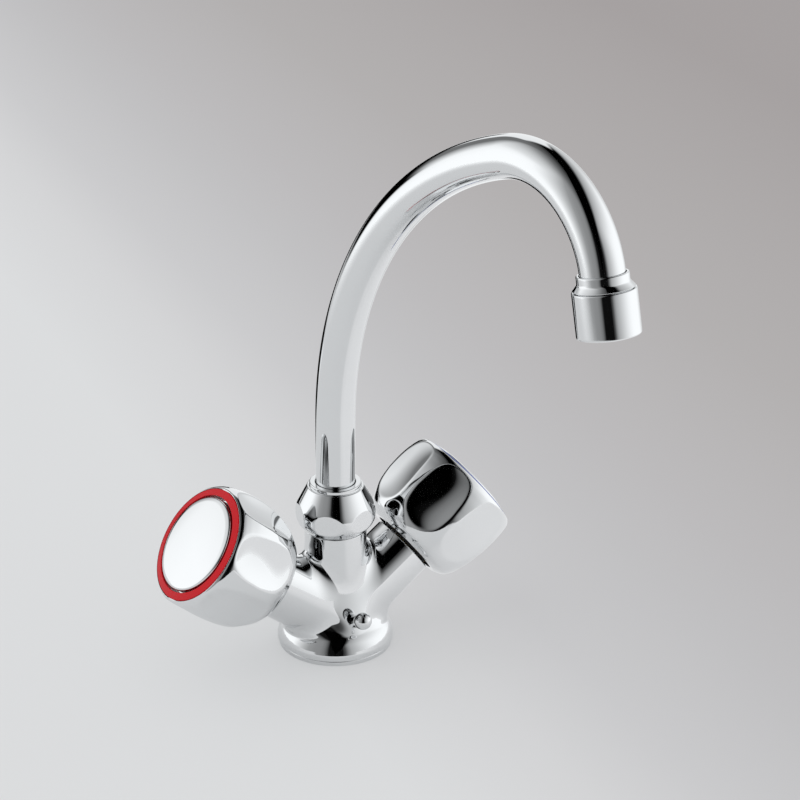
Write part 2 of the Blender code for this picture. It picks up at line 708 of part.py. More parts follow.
def make_bonnet(side):
    axis = valve_axis[side]
    outline = [
        (0.0, BONNET_TOP), (BONNET_NECK_R - GAP, BONNET_TOP), (BONNET_NECK_R, BONNET_TOP - GAP),
        (BONNET_NECK_R, HEX_BOTTOM), (BONNET_R, HEX_BOTTOM), (BONNET_R, BONNET_BOTTOM),
        (0.0, BONNET_BOTTOM),
    ]
    bonnet = turned(side + "_bonnet", outline, FINE_STEPS, "brass", axis)
    join(bonnet, rod(side + "_bonnet_hexagon", HEX_R, HEX_BOTTOM, HEX_TOP, 6, None, axis))
    chamber_r = DRUM_R + GAP
    shank_bore_r = SHANK_R + GAP
    chamber_top = DRUM_TOP + GAP
    outline = [
        (0.0, BONNET_TOP + OVERRUN), (shank_bore_r, BONNET_TOP + OVERRUN), (shank_bore_r, chamber_top),
        (chamber_r, chamber_top), (chamber_r, SOCKET_TOP - GAP), (0.0, SOCKET_TOP - GAP),
    ]
    chamber = turned(side + "_bonnet_chamber", outline, FINE_STEPS, None, axis)
    socket = rod(side + "_bonnet_socket", SOCKET_R, BONNET_BOTTOM - OVERRUN, SOCKET_TOP, 6, None, axis)
    cut(bonnet, chamber, socket)

    low = ARM_LENGTH + GAP
    high = low + SEAL_HEIGHT
    outer = BONNET_R + (ARM_END_R - BONNET_R) / 2
    outline = [(outer, high), (outer, low), (BONNET_R + GAP, low), (BONNET_R + GAP, high)]
    turned(side + "_bonnet_seal", outline, FINE_STEPS, "rubber", axis, ring=True)


def make_spindle(side):
    axis = valve_axis[side]
    clip_r = SHANK_R - CLIP_GROOVE
    clip_low = CLIP_BOTTOM - GAP
    clip_high = CLIP_BOTTOM + CLIP_HEIGHT + GAP
    ring_low = DRUM_TOP + GAP + SPINDLE_RING_PLACE
    ring_high = ring_low + SPINDLE_RING_HEIGHT
    ring_r = SHANK_R - SPINDLE_RING_DEPTH
    tapped_bottom = SPINDLE_TOP - TAPPED_DEPTH
    thread_top = DRUM_BOTTOM + SPINDLE_THREAD_DEPTH
    outline = [
        (0.0, tapped_bottom), (TAPPED_R, tapped_bottom), (TAPPED_R, SPINDLE_TOP), (SPLINE_R, SPINDLE_TOP),
        (SPLINE_R, clip_high), (clip_r, clip_high), (clip_r, clip_low), (SHANK_R, clip_low),
        (SHANK_R, ring_high + GAP), (ring_r, ring_high + GAP), (ring_r, ring_low - GAP),
        (SHANK_R, ring_low - GAP), (SHANK_R, DRUM_TOP), (DRUM_R, DRUM_TOP), (DRUM_R, DRUM_BOTTOM),
        (SPINDLE_THREAD_R, DRUM_BOTTOM), (SPINDLE_THREAD_R, thread_top), (0.0, thread_top),
    ]
    turned(side + "_spindle", outline, SMALL_STEPS, "brass", axis)

    outer = SHANK_R + GAP / 2
    outline = [(outer, ring_high), (outer, ring_low), (ring_r + GAP, ring_low), (ring_r + GAP, ring_high)]
    turned(side + "_spindle_oring", outline, SMALL_STEPS, "rubber", axis, ring=True)

    inner = clip_r + GAP
    low = CLIP_BOTTOM
    high = CLIP_BOTTOM + CLIP_HEIGHT
    outline = [(CLIP_R, high), (CLIP_R, low), (inner, low), (inner, high)]
    clip = turned(side + "_circlip", outline, SMALL_STEPS, "steel", axis, ring=True)
    mouth = block(
        side + "_circlip_mouth", (CLIP_R + OVERRUN, inner * CLIP_OPENING_SHARE, CLIP_HEIGHT + OVERRUN),
        ((CLIP_R + OVERRUN) / 2, 0.0, (low + high) / 2), None, axis
    )
    cut(clip, mouth)


def make_plunger(side):
    axis = valve_axis[side]
    head_r = SOCKET_R - PLUNGER_PLAY
    stem_r = SPINDLE_THREAD_R - GAP
    plunger = rod(side + "_plunger", head_r, PLUNGER_BOTTOM, PLUNGER_SHOULDER, 6, "brass", axis)
    stem_low = PLUNGER_SHOULDER - PLUNGER_HEAD / 2
    stem_top = PLUNGER_SHOULDER + PLUNGER_STEM
    join(plunger, rod(side + "_plunger_stem", stem_r, stem_low, stem_top, SMALL_STEPS, None, axis))
    hole_r = WASHER_SCREW_R + GAP
    hole_low = PLUNGER_BOTTOM - OVERRUN
    hole_top = PLUNGER_BOTTOM + PLUNGER_BORE
    cut(plunger, rod(side + "_plunger_hole", hole_r, hole_low, hole_top, TINY_STEPS, None, axis))

    washer_top = WASHER_BOTTOM + WASHER_HEIGHT
    outline = [
        (WASHER_R, washer_top), (WASHER_R, WASHER_BOTTOM), (hole_r, WASHER_BOTTOM), (hole_r, washer_top),
    ]
    turned(side + "_washer", outline, FINE_STEPS, "rubber", axis, ring=True)

    head_top = WASHER_BOTTOM - GAP
    outline = [
        (0.0, hole_top - GAP), (WASHER_SCREW_R, hole_top - GAP), (WASHER_SCREW_R, head_top),
        (WASHER_SCREW_HEAD_R, head_top), (WASHER_SCREW_HEAD_R, head_top - WASHER_SCREW_HEAD),
        (0.0, head_top - WASHER_SCREW_HEAD),
    ]
    turned(side + "_washer_screw", outline, TINY_STEPS, "steel", axis)


# Knob of one side

def barrel_radius(station):
    """outer radius of the knob at a share of its length"""
    swell = KNOB_SWELL_SHARES[-1][0]
    for (r0, s0), (r1, s1) in zip(KNOB_SWELL_SHARES, KNOB_SWELL_SHARES[1:]):
        if s0 <= station <= s1:
            swell = r0 + (r1 - r0) * (station - s0) / (s1 - s0)
    return KNOB_REAR_R + (KNOB_R - KNOB_REAR_R) * swell


def flat_distance(station):
    """distance of a flat from the knob's axis, a shallow arch through three places"""
    total = 0.0
    for i, (place, value) in enumerate(zip(FLAT_STATION_SHARES, FLAT_DISTANCE_SHARES)):
        weight = 1.0
        for j, other in enumerate(FLAT_STATION_SHARES):
            if j != i:
                weight *= (station - other) / (place - other)
        total += value * weight
    return KNOB_R * total


def knob_outline():
    front = KNOB_REAR + KNOB_LENGTH
    outline = [(FACE_R, front), (KNOB_LIP_R, front)]
    outline += [(barrel_radius(s), KNOB_REAR + KNOB_LENGTH * s) for r, s in reversed(KNOB_SWELL_SHARES)]
    lip_top = KNOB_REAR + KNOB_REAR_LIP
    cavity_r = KNOB_OPENING_R + KNOB_UNDERCUT
    outline += [(KNOB_OPENING_R, KNOB_REAR), (KNOB_OPENING_R, lip_top), (cavity_r, lip_top)]
    wall_share = (WALL_REAR - KNOB_REAR) / KNOB_LENGTH
    for station in (*CAVITY_STATION_SHARES, wall_share):
        radius = min(barrel_radius(station), flat_distance(station)) - KNOB_WALL
        outline.append((radius, KNOB_REAR + KNOB_LENGTH * station))
    bore_top = SPINDLE_TOP + GAP
    outline += [
        (KNOB_HUB_R, WALL_REAR), (KNOB_HUB_R, HUB_BOTTOM), (SPLINE_R + GAP, HUB_BOTTOM),
        (SPLINE_R + GAP, bore_top), (SCREW_R + GAP, bore_top), (SCREW_R + GAP, WELL_FLOOR),
        (SCREW_WELL_R, WELL_FLOOR), (SCREW_WELL_R, FACE_FLOOR), (FACE_R, FACE_FLOOR),
    ]
    return outline


def flat_tools(side, phase):
    """what the flats take off the barrel: one block for each, its inner face arched along the knob"""
    outer = KNOB_R + OVERRUN
    sector = math.pi / FLAT_COUNT
    shape = bmesh.new()
    for k in range(FLAT_COUNT):
        turn = Matrix.Rotation(phase - math.pi / 2 + 2 * math.pi * k / FLAT_COUNT, 4, "Z")
        rows = []
        for i in range(FLAT_POINTS + 1):
            station = i / FLAT_POINTS
            inner = flat_distance(station)
            height = KNOB_REAR + KNOB_LENGTH * station
            reach = math.sqrt(max(KNOB_R * KNOB_R - inner * inner, 0.0)) + GAP
            half = min(reach, inner * math.tan(sector) - GAP)
            corners = ((inner, -half), (outer, -half), (outer, half), (inner, half))
            rows.append([shape.verts.new(turn @ Vector((x, y, height))) for x, y in corners])
        for low, high in zip(rows, rows[1:]):
            for i in range(len(low)):
                shape.faces.new((low[i - 1], low[i], high[i], high[i - 1]))
        shape.faces.new(rows[0][::-1])
        shape.faces.new(rows[-1])
    bmesh.ops.recalc_face_normals(shape, faces=shape.faces)
    mesh = bpy.data.meshes.new(side + "_knob_flats")
    shape.to_mesh(mesh)
    shape.free()
    return add(side + "_knob_flats", mesh, None, valve_axis[side])


def make_knob(side, phase):
    axis = valve_axis[side]
    knob = turned(side + "_knob", knob_outline(), KNOB_STEPS, "chrome", axis, ring=True)
    cut(knob, flat_tools(side, phase))

    head_low = WELL_FLOOR + GAP
    head_high = head_low + SCREW_HEAD_HEIGHT
    screw_low = SPINDLE_TOP - SCREW_REACH
    outline = [
        (0.0, head_high), (SCREW_HEAD_R - GAP, head_high), (SCREW_HEAD_R, head_high - GAP),
        (SCREW_HEAD_R, head_low), (SCREW_R, head_low), (SCREW_R, screw_low), (0.0, screw_low),
    ]
    screw = turned(side + "_knob_screw", outline, SMALL_STEPS, "steel", axis)
    slot = block(
        side + "_screw_slot", (2 * (SCREW_HEAD_R + OVERRUN), SCREW_SLOT, 2 * SCREW_SLOT_DEPTH),
        (0.0, 0.0, head_high), None, axis
    )
    cut(screw, slot)

    seat = FACE_FLOOR + GAP
    inner = CAP_R + CAP_GROOVE
    outer = FACE_R - GAP
    top = seat + INDEX_HEIGHT
    outline = [
        (inner, top + INDEX_SLOPE), (outer, top - INDEX_SLOPE), (outer, seat), (inner, seat),
    ]
    colour = "red_plastic" if side == "hot" else "blue_plastic"
    turned(side + "_index_ring", outline, KNOB_STEPS, colour, axis, ring=True)

    edge_top = seat + CAP_EDGE_HEIGHT
    outline = []
    for i in range(CAP_POINTS + 1):
        share = i / CAP_POINTS
        outline.append(((CAP_R - CAP_EDGE) * share, edge_top + CAP_DOME * (1 - share * share)))
    inner_r = CAP_R - CAP_WALL
    inner_top = edge_top - CAP_WALL
    outline += [
        (CAP_R, edge_top - CAP_EDGE), (CAP_R, seat), (inner_r, seat), (inner_r, inner_top - CAP_EDGE),
        (0.0, inner_top),
    ]
    turned(side + "_cap", outline, KNOB_STEPS, "chrome", axis)


# Assembly

chain_axis = chain_frame()
make_casting(chain_axis)
make_base()
make_chain_stud(chain_axis)
make_nut()
make_ferrule()
make_spout_rings()
make_pipe()
make_outlet(outlet_frame())
for side, phase in (("hot", HOT_FLAT_PHASE), ("cold", COLD_FLAT_PHASE)):
    make_bonnet(side)
    make_spindle(side)
    make_plunger(side)
    make_knob(side, phase)
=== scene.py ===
import json
import math

import bmesh
import bpy
import numpy as np
from mathutils import Matrix, Vector


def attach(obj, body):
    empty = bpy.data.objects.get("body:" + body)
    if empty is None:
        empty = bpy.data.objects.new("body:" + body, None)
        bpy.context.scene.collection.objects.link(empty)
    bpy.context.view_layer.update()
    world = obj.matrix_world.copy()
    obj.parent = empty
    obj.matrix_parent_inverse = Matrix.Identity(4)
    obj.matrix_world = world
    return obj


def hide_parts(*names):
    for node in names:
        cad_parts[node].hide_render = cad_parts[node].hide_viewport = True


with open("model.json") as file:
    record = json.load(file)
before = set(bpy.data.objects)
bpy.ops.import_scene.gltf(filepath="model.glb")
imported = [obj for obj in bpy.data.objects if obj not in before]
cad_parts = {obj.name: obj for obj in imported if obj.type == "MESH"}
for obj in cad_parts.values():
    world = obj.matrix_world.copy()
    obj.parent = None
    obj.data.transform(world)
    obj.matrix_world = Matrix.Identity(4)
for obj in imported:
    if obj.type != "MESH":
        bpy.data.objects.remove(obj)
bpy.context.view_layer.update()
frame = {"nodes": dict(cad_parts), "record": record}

# Basin mixer tap, all chrome, on a pale studio floor. Everything is in metres.

mm = 0.001
nodes = frame["nodes"]
bodies = frame["record"]["behaviour"]["bodies"]
bodyOf = {node: body for body, members in bodies.items() for node in members}
print("frame loaded:", len(nodes), "nodes")


# Small helpers for outlines and turned shapes

def softened(corners, closed=False, count=6):
    # corners are (radius, height, rounding), a rounding of 0 stays sharp
    points = []
    last = len(corners) - 1
    for i, (radius, height, rounding) in enumerate(corners):
        here = Vector((radius, height))
        if not rounding or (not closed and i in (0, last)):
            points.append(here)
            continue
        before = Vector(corners[i - 1][:2]) - here
        after = Vector(corners[(i + 1) % len(corners)][:2]) - here
        half = before.angle(after) / 2
        reach = min(rounding / math.tan(half), 0.49 * before.length, 0.49 * after.length)
        inward = (before.normalized() + after.normalized()).normalized()
        centre = here + inward * (reach / math.cos(half))
        first = here + before.normalized() * reach - centre
        final = here + after.normalized() * reach - centre
        sweep = math.pi - 2 * half
        for k in range(count + 1):
            t = k / count
            arc = first * math.sin((1 - t) * sweep) + final * math.sin(t * sweep)
            points.append(centre + arc / math.sin(sweep))
    return points


def curveThrough(points, count=8):
    # a smooth line through given places
    line = []
    for i in range(len(points) - 1):
        a, b = Vector(points[i]), Vector(points[i + 1])
        before = Vector(points[i - 1]) if i else a
        after = Vector(points[i + 2]) if i + 2 < len(points) else b
        for k in range(count):
            t = k / count
            pull = (b - before) * (t - 2 * t * t + t ** 3) / 2 + (after - a) * (t ** 3 - t * t) / 2
            line.append(a + (b - a) * (3 * t * t - 2 * t ** 3) + pull)
    line.append(Vector(points[-1]))
    return line


def evenly(points, spacing, closed=False):
    # long straight stretches get points too, so that the shading stays true
    ends = points[1:] + points[:1] if closed else points[1:]
    line = []
    for a, b in zip(points, ends):
        pieces = max(1, math.ceil((b - a).length / spacing))
        line += [a.lerp(b, k / pieces) for k in range(pieces)]
    if not closed:
        line.append(points[-1])
    return line


def turned(line, steps, closed=True):
    shape = bmesh.new()
    verts = [shape.verts.new((radius, 0.0, height)) for radius, height in line]
    ends = verts[1:] + verts[:1] if closed else verts[1:]
    edges = [shape.edges.new(pair) for pair in zip(verts, ends)]
    bmesh.ops.spin(
        shape, geom=verts + edges, cent=(0, 0, 0), axis=(0, 0, 1), angle=2 * math.pi, steps=steps,
        use_merge=True
    )
    bmesh.ops.remove_doubles(shape, verts=shape.verts, dist=0.002 * mm)
    bmesh.ops.recalc_face_normals(shape, faces=shape.faces)
    return shape


def madeObject(name, shape, place=Matrix.Identity(4), sharpAngle=35):
    shape.transform(place)
    mesh = bpy.data.meshes.new(name)
    shape.to_mesh(mesh)
    shape.free()
    mesh.shade_smooth()
    mesh.set_sharp_from_angle(angle=math.radians(sharpAngle))
    piece = bpy.data.objects.new(name, mesh)
    bpy.context.scene.collection.objects.link(piece)
    return piece


def standsFor(piece, node, material):
    piece.data.materials.clear()
    piece.data.materials.append(material)
    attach(piece, bodyOf[node])
    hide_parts(node)
    return piece


# Node groups that several finishes share

def newGroup(name, inputs, outputs):
    group = bpy.data.node_groups.new(name, "ShaderNodeTree")
    for label, kind, value in inputs:
        socket = group.interface.new_socket(name=label, in_out="INPUT", socket_type=kind)
        socket.default_value = value
    for label, kind in outputs:
        group.interface.new_socket(name=label, in_out="OUTPUT", socket_type=kind)
    start = group.nodes.new("NodeGroupInput")
    end = group.nodes.new("NodeGroupOutput")
    return group, start, end


def mottleGroup():
    # soft cloudy marks, as fingers and dried water leave: a value between Low and High
    group, start, end = newGroup(
        "mottle",
        [
            ("Scale", "NodeSocketFloat", 60.0), ("Low", "NodeSocketFloat", 0.03),
            ("High", "NodeSocketFloat", 0.08),
        ],
        [("Value", "NodeSocketFloat")],
    )
    place = group.nodes.new("ShaderNodeTexCoord")
    noise = group.nodes.new("ShaderNodeTexNoise")
    noise.inputs["Detail"].default_value = 4.0
    noise.inputs["Roughness"].default_value = 0.6
    spread = group.nodes.new("ShaderNodeMapRange")
    spread.inputs["From Min"].default_value = 0.35
    spread.inputs["From Max"].default_value = 0.7
    link = group.links.new
    link(place.outputs["Object"], noise.inputs["Vector"])
    link(start.outputs["Scale"], noise.inputs["Scale"])
    link(noise.outputs["Fac"], spread.inputs["Value"])
    link(start.outputs["Low"], spread.inputs["To Min"])
    link(start.outputs["High"], spread.inputs["To Max"])
    link(spread.outputs["Result"], end.inputs["Value"])
    return group


def waveGroup():
    # the faint unevenness of a polished casting under its plating
    group, start, end = newGroup(
        "polishWave",
        [("Scale", "NodeSocketFloat", 70.0), ("Fine", "NodeSocketFloat", 0.3)],
        [("Height", "NodeSocketFloat")],
    )
    place = group.nodes.new("ShaderNodeTexCoord")
    broad = group.nodes.new("ShaderNodeTexNoise")
    broad.inputs["Detail"].default_value = 1.0
    fine = group.nodes.new("ShaderNodeTexNoise")
    fine.inputs["Detail"].default_value = 3.0
    times = group.nodes.new("ShaderNodeMath")
    times.operation = "MULTIPLY"
    times.inputs[1].default_value = 5.0
    small = group.nodes.new("ShaderNodeMath")
    small.operation = "MULTIPLY"
    total = group.nodes.new("ShaderNodeMath")
    total.operation = "ADD"
    link = group.links.new
    link(place.outputs["Object"], broad.inputs["Vector"])
    link(place.outputs["Object"], fine.inputs["Vector"])
    link(start.outputs["Scale"], broad.inputs["Scale"])
    link(start.outputs["Scale"], times.inputs[0])
    link(times.outputs[0], fine.inputs["Scale"])
    link(fine.outputs["Fac"], small.inputs[0])
    link(start.outputs["Fine"], small.inputs[1])
    link(broad.outputs["Fac"], total.inputs[0])
    link(small.outputs[0], total.inputs[1])
    link(total.outputs[0], end.inputs["Height"])
    return group


def tintGroup():
    # a colour that drifts a little over the surface
    group, start, end = newGroup(
        "tint",
        [
            ("First", "NodeSocketColor", (0.7, 0.7, 0.7, 1.0)),
            ("Second", "NodeSocketColor", (0.6, 0.6, 0.6, 1.0)), ("Scale", "NodeSocketFloat", 40.0),
        ],
        [("Color", "NodeSocketColor")],
    )
    place = group.nodes.new("ShaderNodeTexCoord")
    noise = group.nodes.new("ShaderNodeTexNoise")
    noise.inputs["Detail"].default_value = 3.0
    mix = group.nodes.new("ShaderNodeMix")
    mix.data_type = "RGBA"
    link = group.links.new
    link(place.outputs["Object"], noise.inputs["Vector"])
    link(start.outputs["Scale"], noise.inputs["Scale"])
    link(noise.outputs["Fac"], mix.inputs["Factor"])
    link(start.outputs["First"], mix.inputs["A"])
    link(start.outputs["Second"], mix.inputs["B"])
    link(mix.outputs["Result"], end.inputs["Color"])
    return group


mottle = mottleGroup()
polishWave = waveGroup()
tint = tintGroup()


def placed(material, group, values):
    node = material.node_tree.nodes.new("ShaderNodeGroup")
    node.node_tree = group
    for label, value in values.items():
        node.inputs[label].default_value = value
    return node


def newFinish(name, look):
    # one finish: drifting colour, marks in the gloss and a slight relief
    material = bpy.data.materials.new(name)
    material.use_nodes = True
    shader = material.node_tree.nodes["Principled BSDF"]
    shader.inputs["Metallic"].default_value = look.get("metallic", 0.0)
    shader.inputs["Specular IOR Level"].default_value = look.get("mirror", 0.5)
    colours = placed(material, tint, {
        "First": (*look["first"], 1.0), "Second": (*look["second"], 1.0)
    })
    gloss = placed(material, mottle, {
        "Scale": look.get("markScale", 60.0), "Low": look["gloss"][0], "High": look["gloss"][1]
    })
    relief = placed(material, polishWave, {
        "Scale": look.get("waveScale", 70.0), "Fine": look.get("fine", 0.3)
    })
    bump = material.node_tree.nodes.new("ShaderNodeBump")
    bump.inputs["Strength"].default_value = look.get("bump", 0.05)
    bump.inputs["Distance"].default_value = look.get("depth", 0.05) * mm
    link = material.node_tree.links.new
    link(colours.outputs["Color"], shader.inputs["Base Color"])
    link(gloss.outputs["Value"], shader.inputs["Roughness"])
    link(relief.outputs["Height"], bump.inputs["Height"])
    link(bump.outputs["Normal"], shader.inputs["Normal"])
    material.diffuse_color = (*look["first"], 1.0)
    return material


looks = {
    "plate": {
        "first": (0.80, 0.81, 0.815), "second": (0.775, 0.785, 0.795), "metallic": 1.0,
        "gloss": (0.015, 0.05), "bump": 0.02, "depth": 0.02, "fine": 0.1,
    },
    "castPlate": {
        "first": (0.80, 0.81, 0.815), "second": (0.775, 0.785, 0.795), "metallic": 1.0,
        "gloss": (0.02, 0.06), "bump": 0.10, "depth": 0.03, "fine": 0.15,
    },
    "brass": {
        "first": (0.72, 0.54, 0.27), "second": (0.62, 0.45, 0.22), "metallic": 1.0,
        "gloss": (0.22, 0.38), "markScale": 140.0, "bump": 0.3, "waveScale": 400.0, "fine": 0.8,
    },
    "steel": {
        "first": (0.62, 0.62, 0.63), "second": (0.52, 0.52, 0.54), "metallic": 1.0,
        "gloss": (0.22, 0.36), "markScale": 160.0, "bump": 0.2, "waveScale": 500.0,
    },
    "rubber": {
        "first": (0.022, 0.022, 0.024), "second": (0.05, 0.05, 0.052), "gloss": (0.6, 0.8),
        "markScale": 200.0, "bump": 0.35, "waveScale": 900.0, "fine": 0.9,
    },
    "redPlastic": {
        "first": (0.56, 0.010, 0.017), "second": (0.50, 0.008, 0.014), "gloss": (0.28, 0.38),
        "mirror": 0.15, "bump": 0.08, "waveScale": 200.0,
    },
    "bluePlastic": {
        "first": (0.012, 0.06, 0.42), "second": (0.01, 0.045, 0.36), "gloss": (0.28, 0.38),
        "mirror": 0.15, "bump": 0.08, "waveScale": 200.0,
    },
    "whitePlastic": {
        "first": (0.78, 0.78, 0.76), "second": (0.72, 0.72, 0.69), "gloss": (0.32, 0.45), "bump": 0.15,
        "waveScale": 300.0,
    },
}
finishes = {name: newFinish(name, look) for name, look in looks.items()}
print("finishes made:", len(finishes))


# Casting: foot, column and both arms, melted into each other where they meet

casting = {
    "armAngle": math.radians(37.0), "armCrossing": 13.1 * mm, "armLength": 42.3 * mm,
    "armRootRadius": 15.1 * mm, "armEndRadius": 14.4 * mm, "armEdge": 0.9 * mm,
    "columnRadius": 13.5 * mm, "columnTop": 55.1 * mm, "neckRadius": 12.9 * mm, "neckTop": 63.0 * mm,
    "footRadius": 25.4 * mm, "footBottom": 2.5 * mm, "bandTop": 4.4 * mm,
    "shoulder": (24.9 * mm, 6.2 * mm), "flareTop": 27.5 * mm, "bossRadius": 18.0 * mm,
    "blendWidth": 7.0 * mm, "blendFrom": 6.0 * mm, "blendFull": 13.0 * mm,
    "steps": 208, "armSteps": 112, "spacing": 1.1 * mm, "meshDetail": 2, "trueDetail": 4,
    "valveBoreRadius": 10.3 * mm, "valveBoreDepth": 22.3 * mm,
    "columnBoreRadius": 10.3 * mm, "columnBoreDepth": 21.0 * mm,
    "inletRadius": 4.6 * mm, "inletOffset": 9.0 * mm, "inletDepth": 14.0 * mm,
    "studHoleRadius": 3.3 * mm, "studHoleOffset": 12.5 * mm, "studHoleDepth": 11.0 * mm,
}


def armPlace(side):
    # local Z runs out along the arm
    lean = math.pi / 2 - casting["armAngle"]
    turn = lean if side == "cold" else -lean
    return Matrix.Translation((0, 0, casting["armCrossing"])) @ Matrix.Rotation(turn, 4, "Y")


def columnLine(detail=1):
    # the mesh takes it as it is, the shading a finer one
    c = casting
    shoulderRadius, shoulderTop = c["shoulder"]
    span = c["flareTop"] - shoulderTop
    wider = shoulderRadius - c["columnRadius"]
    pulls = (
        (c["columnRadius"], shoulderTop + 0.41 * span),
        (c["columnRadius"] + 0.82 * wider, shoulderTop + 0.34 * span),
    )
    flare = []
    for k in range(24 * detail + 1):
        t = k / (24 * detail)
        u = 1 - t
        corners = ((c["columnRadius"], c["flareTop"]), *pulls, c["shoulder"])
        weights = (u ** 3, 3 * u * u * t, 3 * u * t * t, t ** 3)
        flare.append(Vector([sum(w * p[axis] for w, p in zip(weights, corners)) for axis in (0, 1)]))
    top = softened([
        (0, c["neckTop"], 0), (c["neckRadius"], c["neckTop"], 0.3 * mm),
        (c["neckRadius"], c["columnTop"], 0), (c["columnRadius"], c["columnTop"], 0.3 * mm),
        (c["columnRadius"], c["flareTop"], 0),
    ])
    foot = softened([
        (*c["shoulder"], 0), (c["footRadius"], c["bandTop"], 6 * mm),
        (c["footRadius"], c["footBottom"], 0.3 * mm), (c["bossRadius"], c["footBottom"], 0),
        (c["bossRadius"], 0, 0.3 * mm), (0, 0, 0),
    ], count=6 * detail)
    return top[:-1] + flare + foot[1:]


def armLine(detail=1):
    c = casting
    corners = [
        (0, c["armLength"], 0), (c["armEndRadius"], c["armLength"], c["armEdge"]),
        (c["armRootRadius"], 0, 0), (0, 0, 0),
    ]
    return softened(corners, count=6 * detail)


fineColumn = columnLine(casting["trueDetail"])
fineArm = armLine(casting["meshDetail"])


def outlineDistance(radius, height, line):
    # signed distance to a turned shape's outline, negative inside
    a = np.array([tuple(point) for point in line[:-1]])
    b = np.array([tuple(point) for point in line[1:]])
    away = np.full(radius.shape, 1.0)
    inside = np.zeros(radius.shape, bool)
    closing = [(b[-1], a[0])]
    for p, q in [*zip(a, b), *closing]:
        step = q - p
        dr = radius - p[0]
        dz = height - p[1]
        if (p[0], q[0]) != (0.0, 0.0):
            t = np.clip((dr * step[0] + dz * step[1]) / max(step @ step, 1e-18), 0, 1)
            away = np.minimum(away, np.hypot(dr - t * step[0], dz - t * step[1]))
        if p[1] != q[1]:
            crosses = (p[1] > height) != (q[1] > height)
            inside ^= crosses & (radius < p[0] + dz * step[0] / step[1])
    return np.where(inside, -away, away)


def meltedDistance(points):
    # the three turned solids of the casting with a soft union between them
    c = casting
    fields = [outlineDistance(np.hypot(points[:, 0], points[:, 1]), points[:, 2], fineColumn)]
    for side in ("hot", "cold"):
        back = np.array(armPlace(side).inverted())
        local = points @ back[:3, :3].T + back[:3, 3]
        fields.append(outlineDistance(np.hypot(local[:, 0], local[:, 1]), local[:, 2], fineArm))
    rise = np.clip((points[:, 2] - c["blendFrom"]) / (c["blendFull"] - c["blendFrom"]), 0, 1)
    width = c["blendWidth"] * (0.02 + 0.98 * rise * rise * (3 - 2 * rise))
    total = fields[0]
    for field in fields[1:]:
        blend = np.maximum(width - np.abs(total - field), 0) / width
        total = np.minimum(total, field) - blend * blend * width / 4
    return total


def meltedSlope(points, step=0.01 * mm):
    slope = np.zeros(points.shape)
    for axis in range(3):
        shift = np.zeros(3)
        shift[axis] = step
        slope[:, axis] = (meltedDistance(points + shift) - meltedDistance(points - shift)) / (2 * step)
    return slope


def applied(piece):
    # the evaluated mesh takes the place of the mesh and its modifiers
    shape = piece.evaluated_get(bpy.context.evaluated_depsgraph_get())
    mesh = bpy.data.meshes.new_from_object(shape)
    piece.modifiers.clear()
    piece.data = mesh
    return piece


def withTools(piece, tools, operation):
    for tool in tools:
        step = piece.modifiers.new(tool.name, "BOOLEAN")
        step.object = tool
        step.operation = operation
        step.solver = "EXACT"
    applied(piece)
    for tool in tools:
        bpy.data.objects.remove(tool, do_unlink=True)
    return piece


def makeBore(name, radius, floor, mouth, steps, place=Matrix.Identity(4)):
    # a plain round cutter from the bore's floor to a little beyond its mouth
    outside = mouth + (2 * mm if mouth > floor else -2 * mm)
    high, low = max(floor, outside), min(floor, outside)
    line = softened([(0, high, 0), (radius, high, 0), (radius, low, 0), (0, low, 0)])
    return madeObject(name, turned(line, steps, closed=False), place)


def makeCasting():
    c = casting
    column = evenly(columnLine(c["meshDetail"]), c["spacing"])
    body = madeObject("castingBody", turned(column, c["steps"], closed=False))
    arms = []
    for side in ("hot", "cold"):
        shape = turned(evenly(armLine(), c["spacing"]), c["armSteps"], closed=False)
        arms.append(madeObject(side + "Arm", shape, armPlace(side)))
    withTools(body, arms, "UNION")
    shape = bmesh.new()
    shape.from_mesh(body.data)
    bmesh.ops.remove_doubles(shape, verts=shape.verts, dist=0.005 * mm)
    points = np.array([vert.co[:] for vert in shape.verts])
    for _ in range(2):
        slope = meltedSlope(points)
        length = np.maximum((slope * slope).sum(1), 0.25)
        points = points - slope * (meltedDistance(points) / length)[:, None]
    for vert, point in zip(shape.verts, points):
        vert.co = point
    shape.to_mesh(body.data)
    shape.free()

    bores = []
    valveFloor = c["armLength"] - c["valveBoreDepth"]
    for side, sign in (("hot", -1), ("cold", 1)):
        place = armPlace(side)
        bores.append(makeBore(side + "Bore", c["valveBoreRadius"], valveFloor, c["armLength"], 64, place))
        place = Matrix.Translation((sign * c["inletOffset"], 0, 0))
        bores.append(makeBore(side + "Inlet", c["inletRadius"], c["inletDepth"], 0, 48, place))
    place = Matrix.Translation((0, c["studHoleOffset"], 0))
    bores.append(makeBore("studHole", c["studHoleRadius"], c["studHoleDepth"], 0, 40, place))
    neckFloor = c["neckTop"] - c["columnBoreDepth"]
    bores.append(makeBore("neckBore", c["columnBoreRadius"], neckFloor, c["neckTop"], 64))
    withTools(body, bores[1:] + bores[:1], "DIFFERENCE")
    mesh = body.data
    mesh.shade_smooth()
    mesh.set_sharp_from_angle(angle=math.radians(35))
    trueNormals(mesh)
    return standsFor(body, "body_casting", finishes["castPlate"])


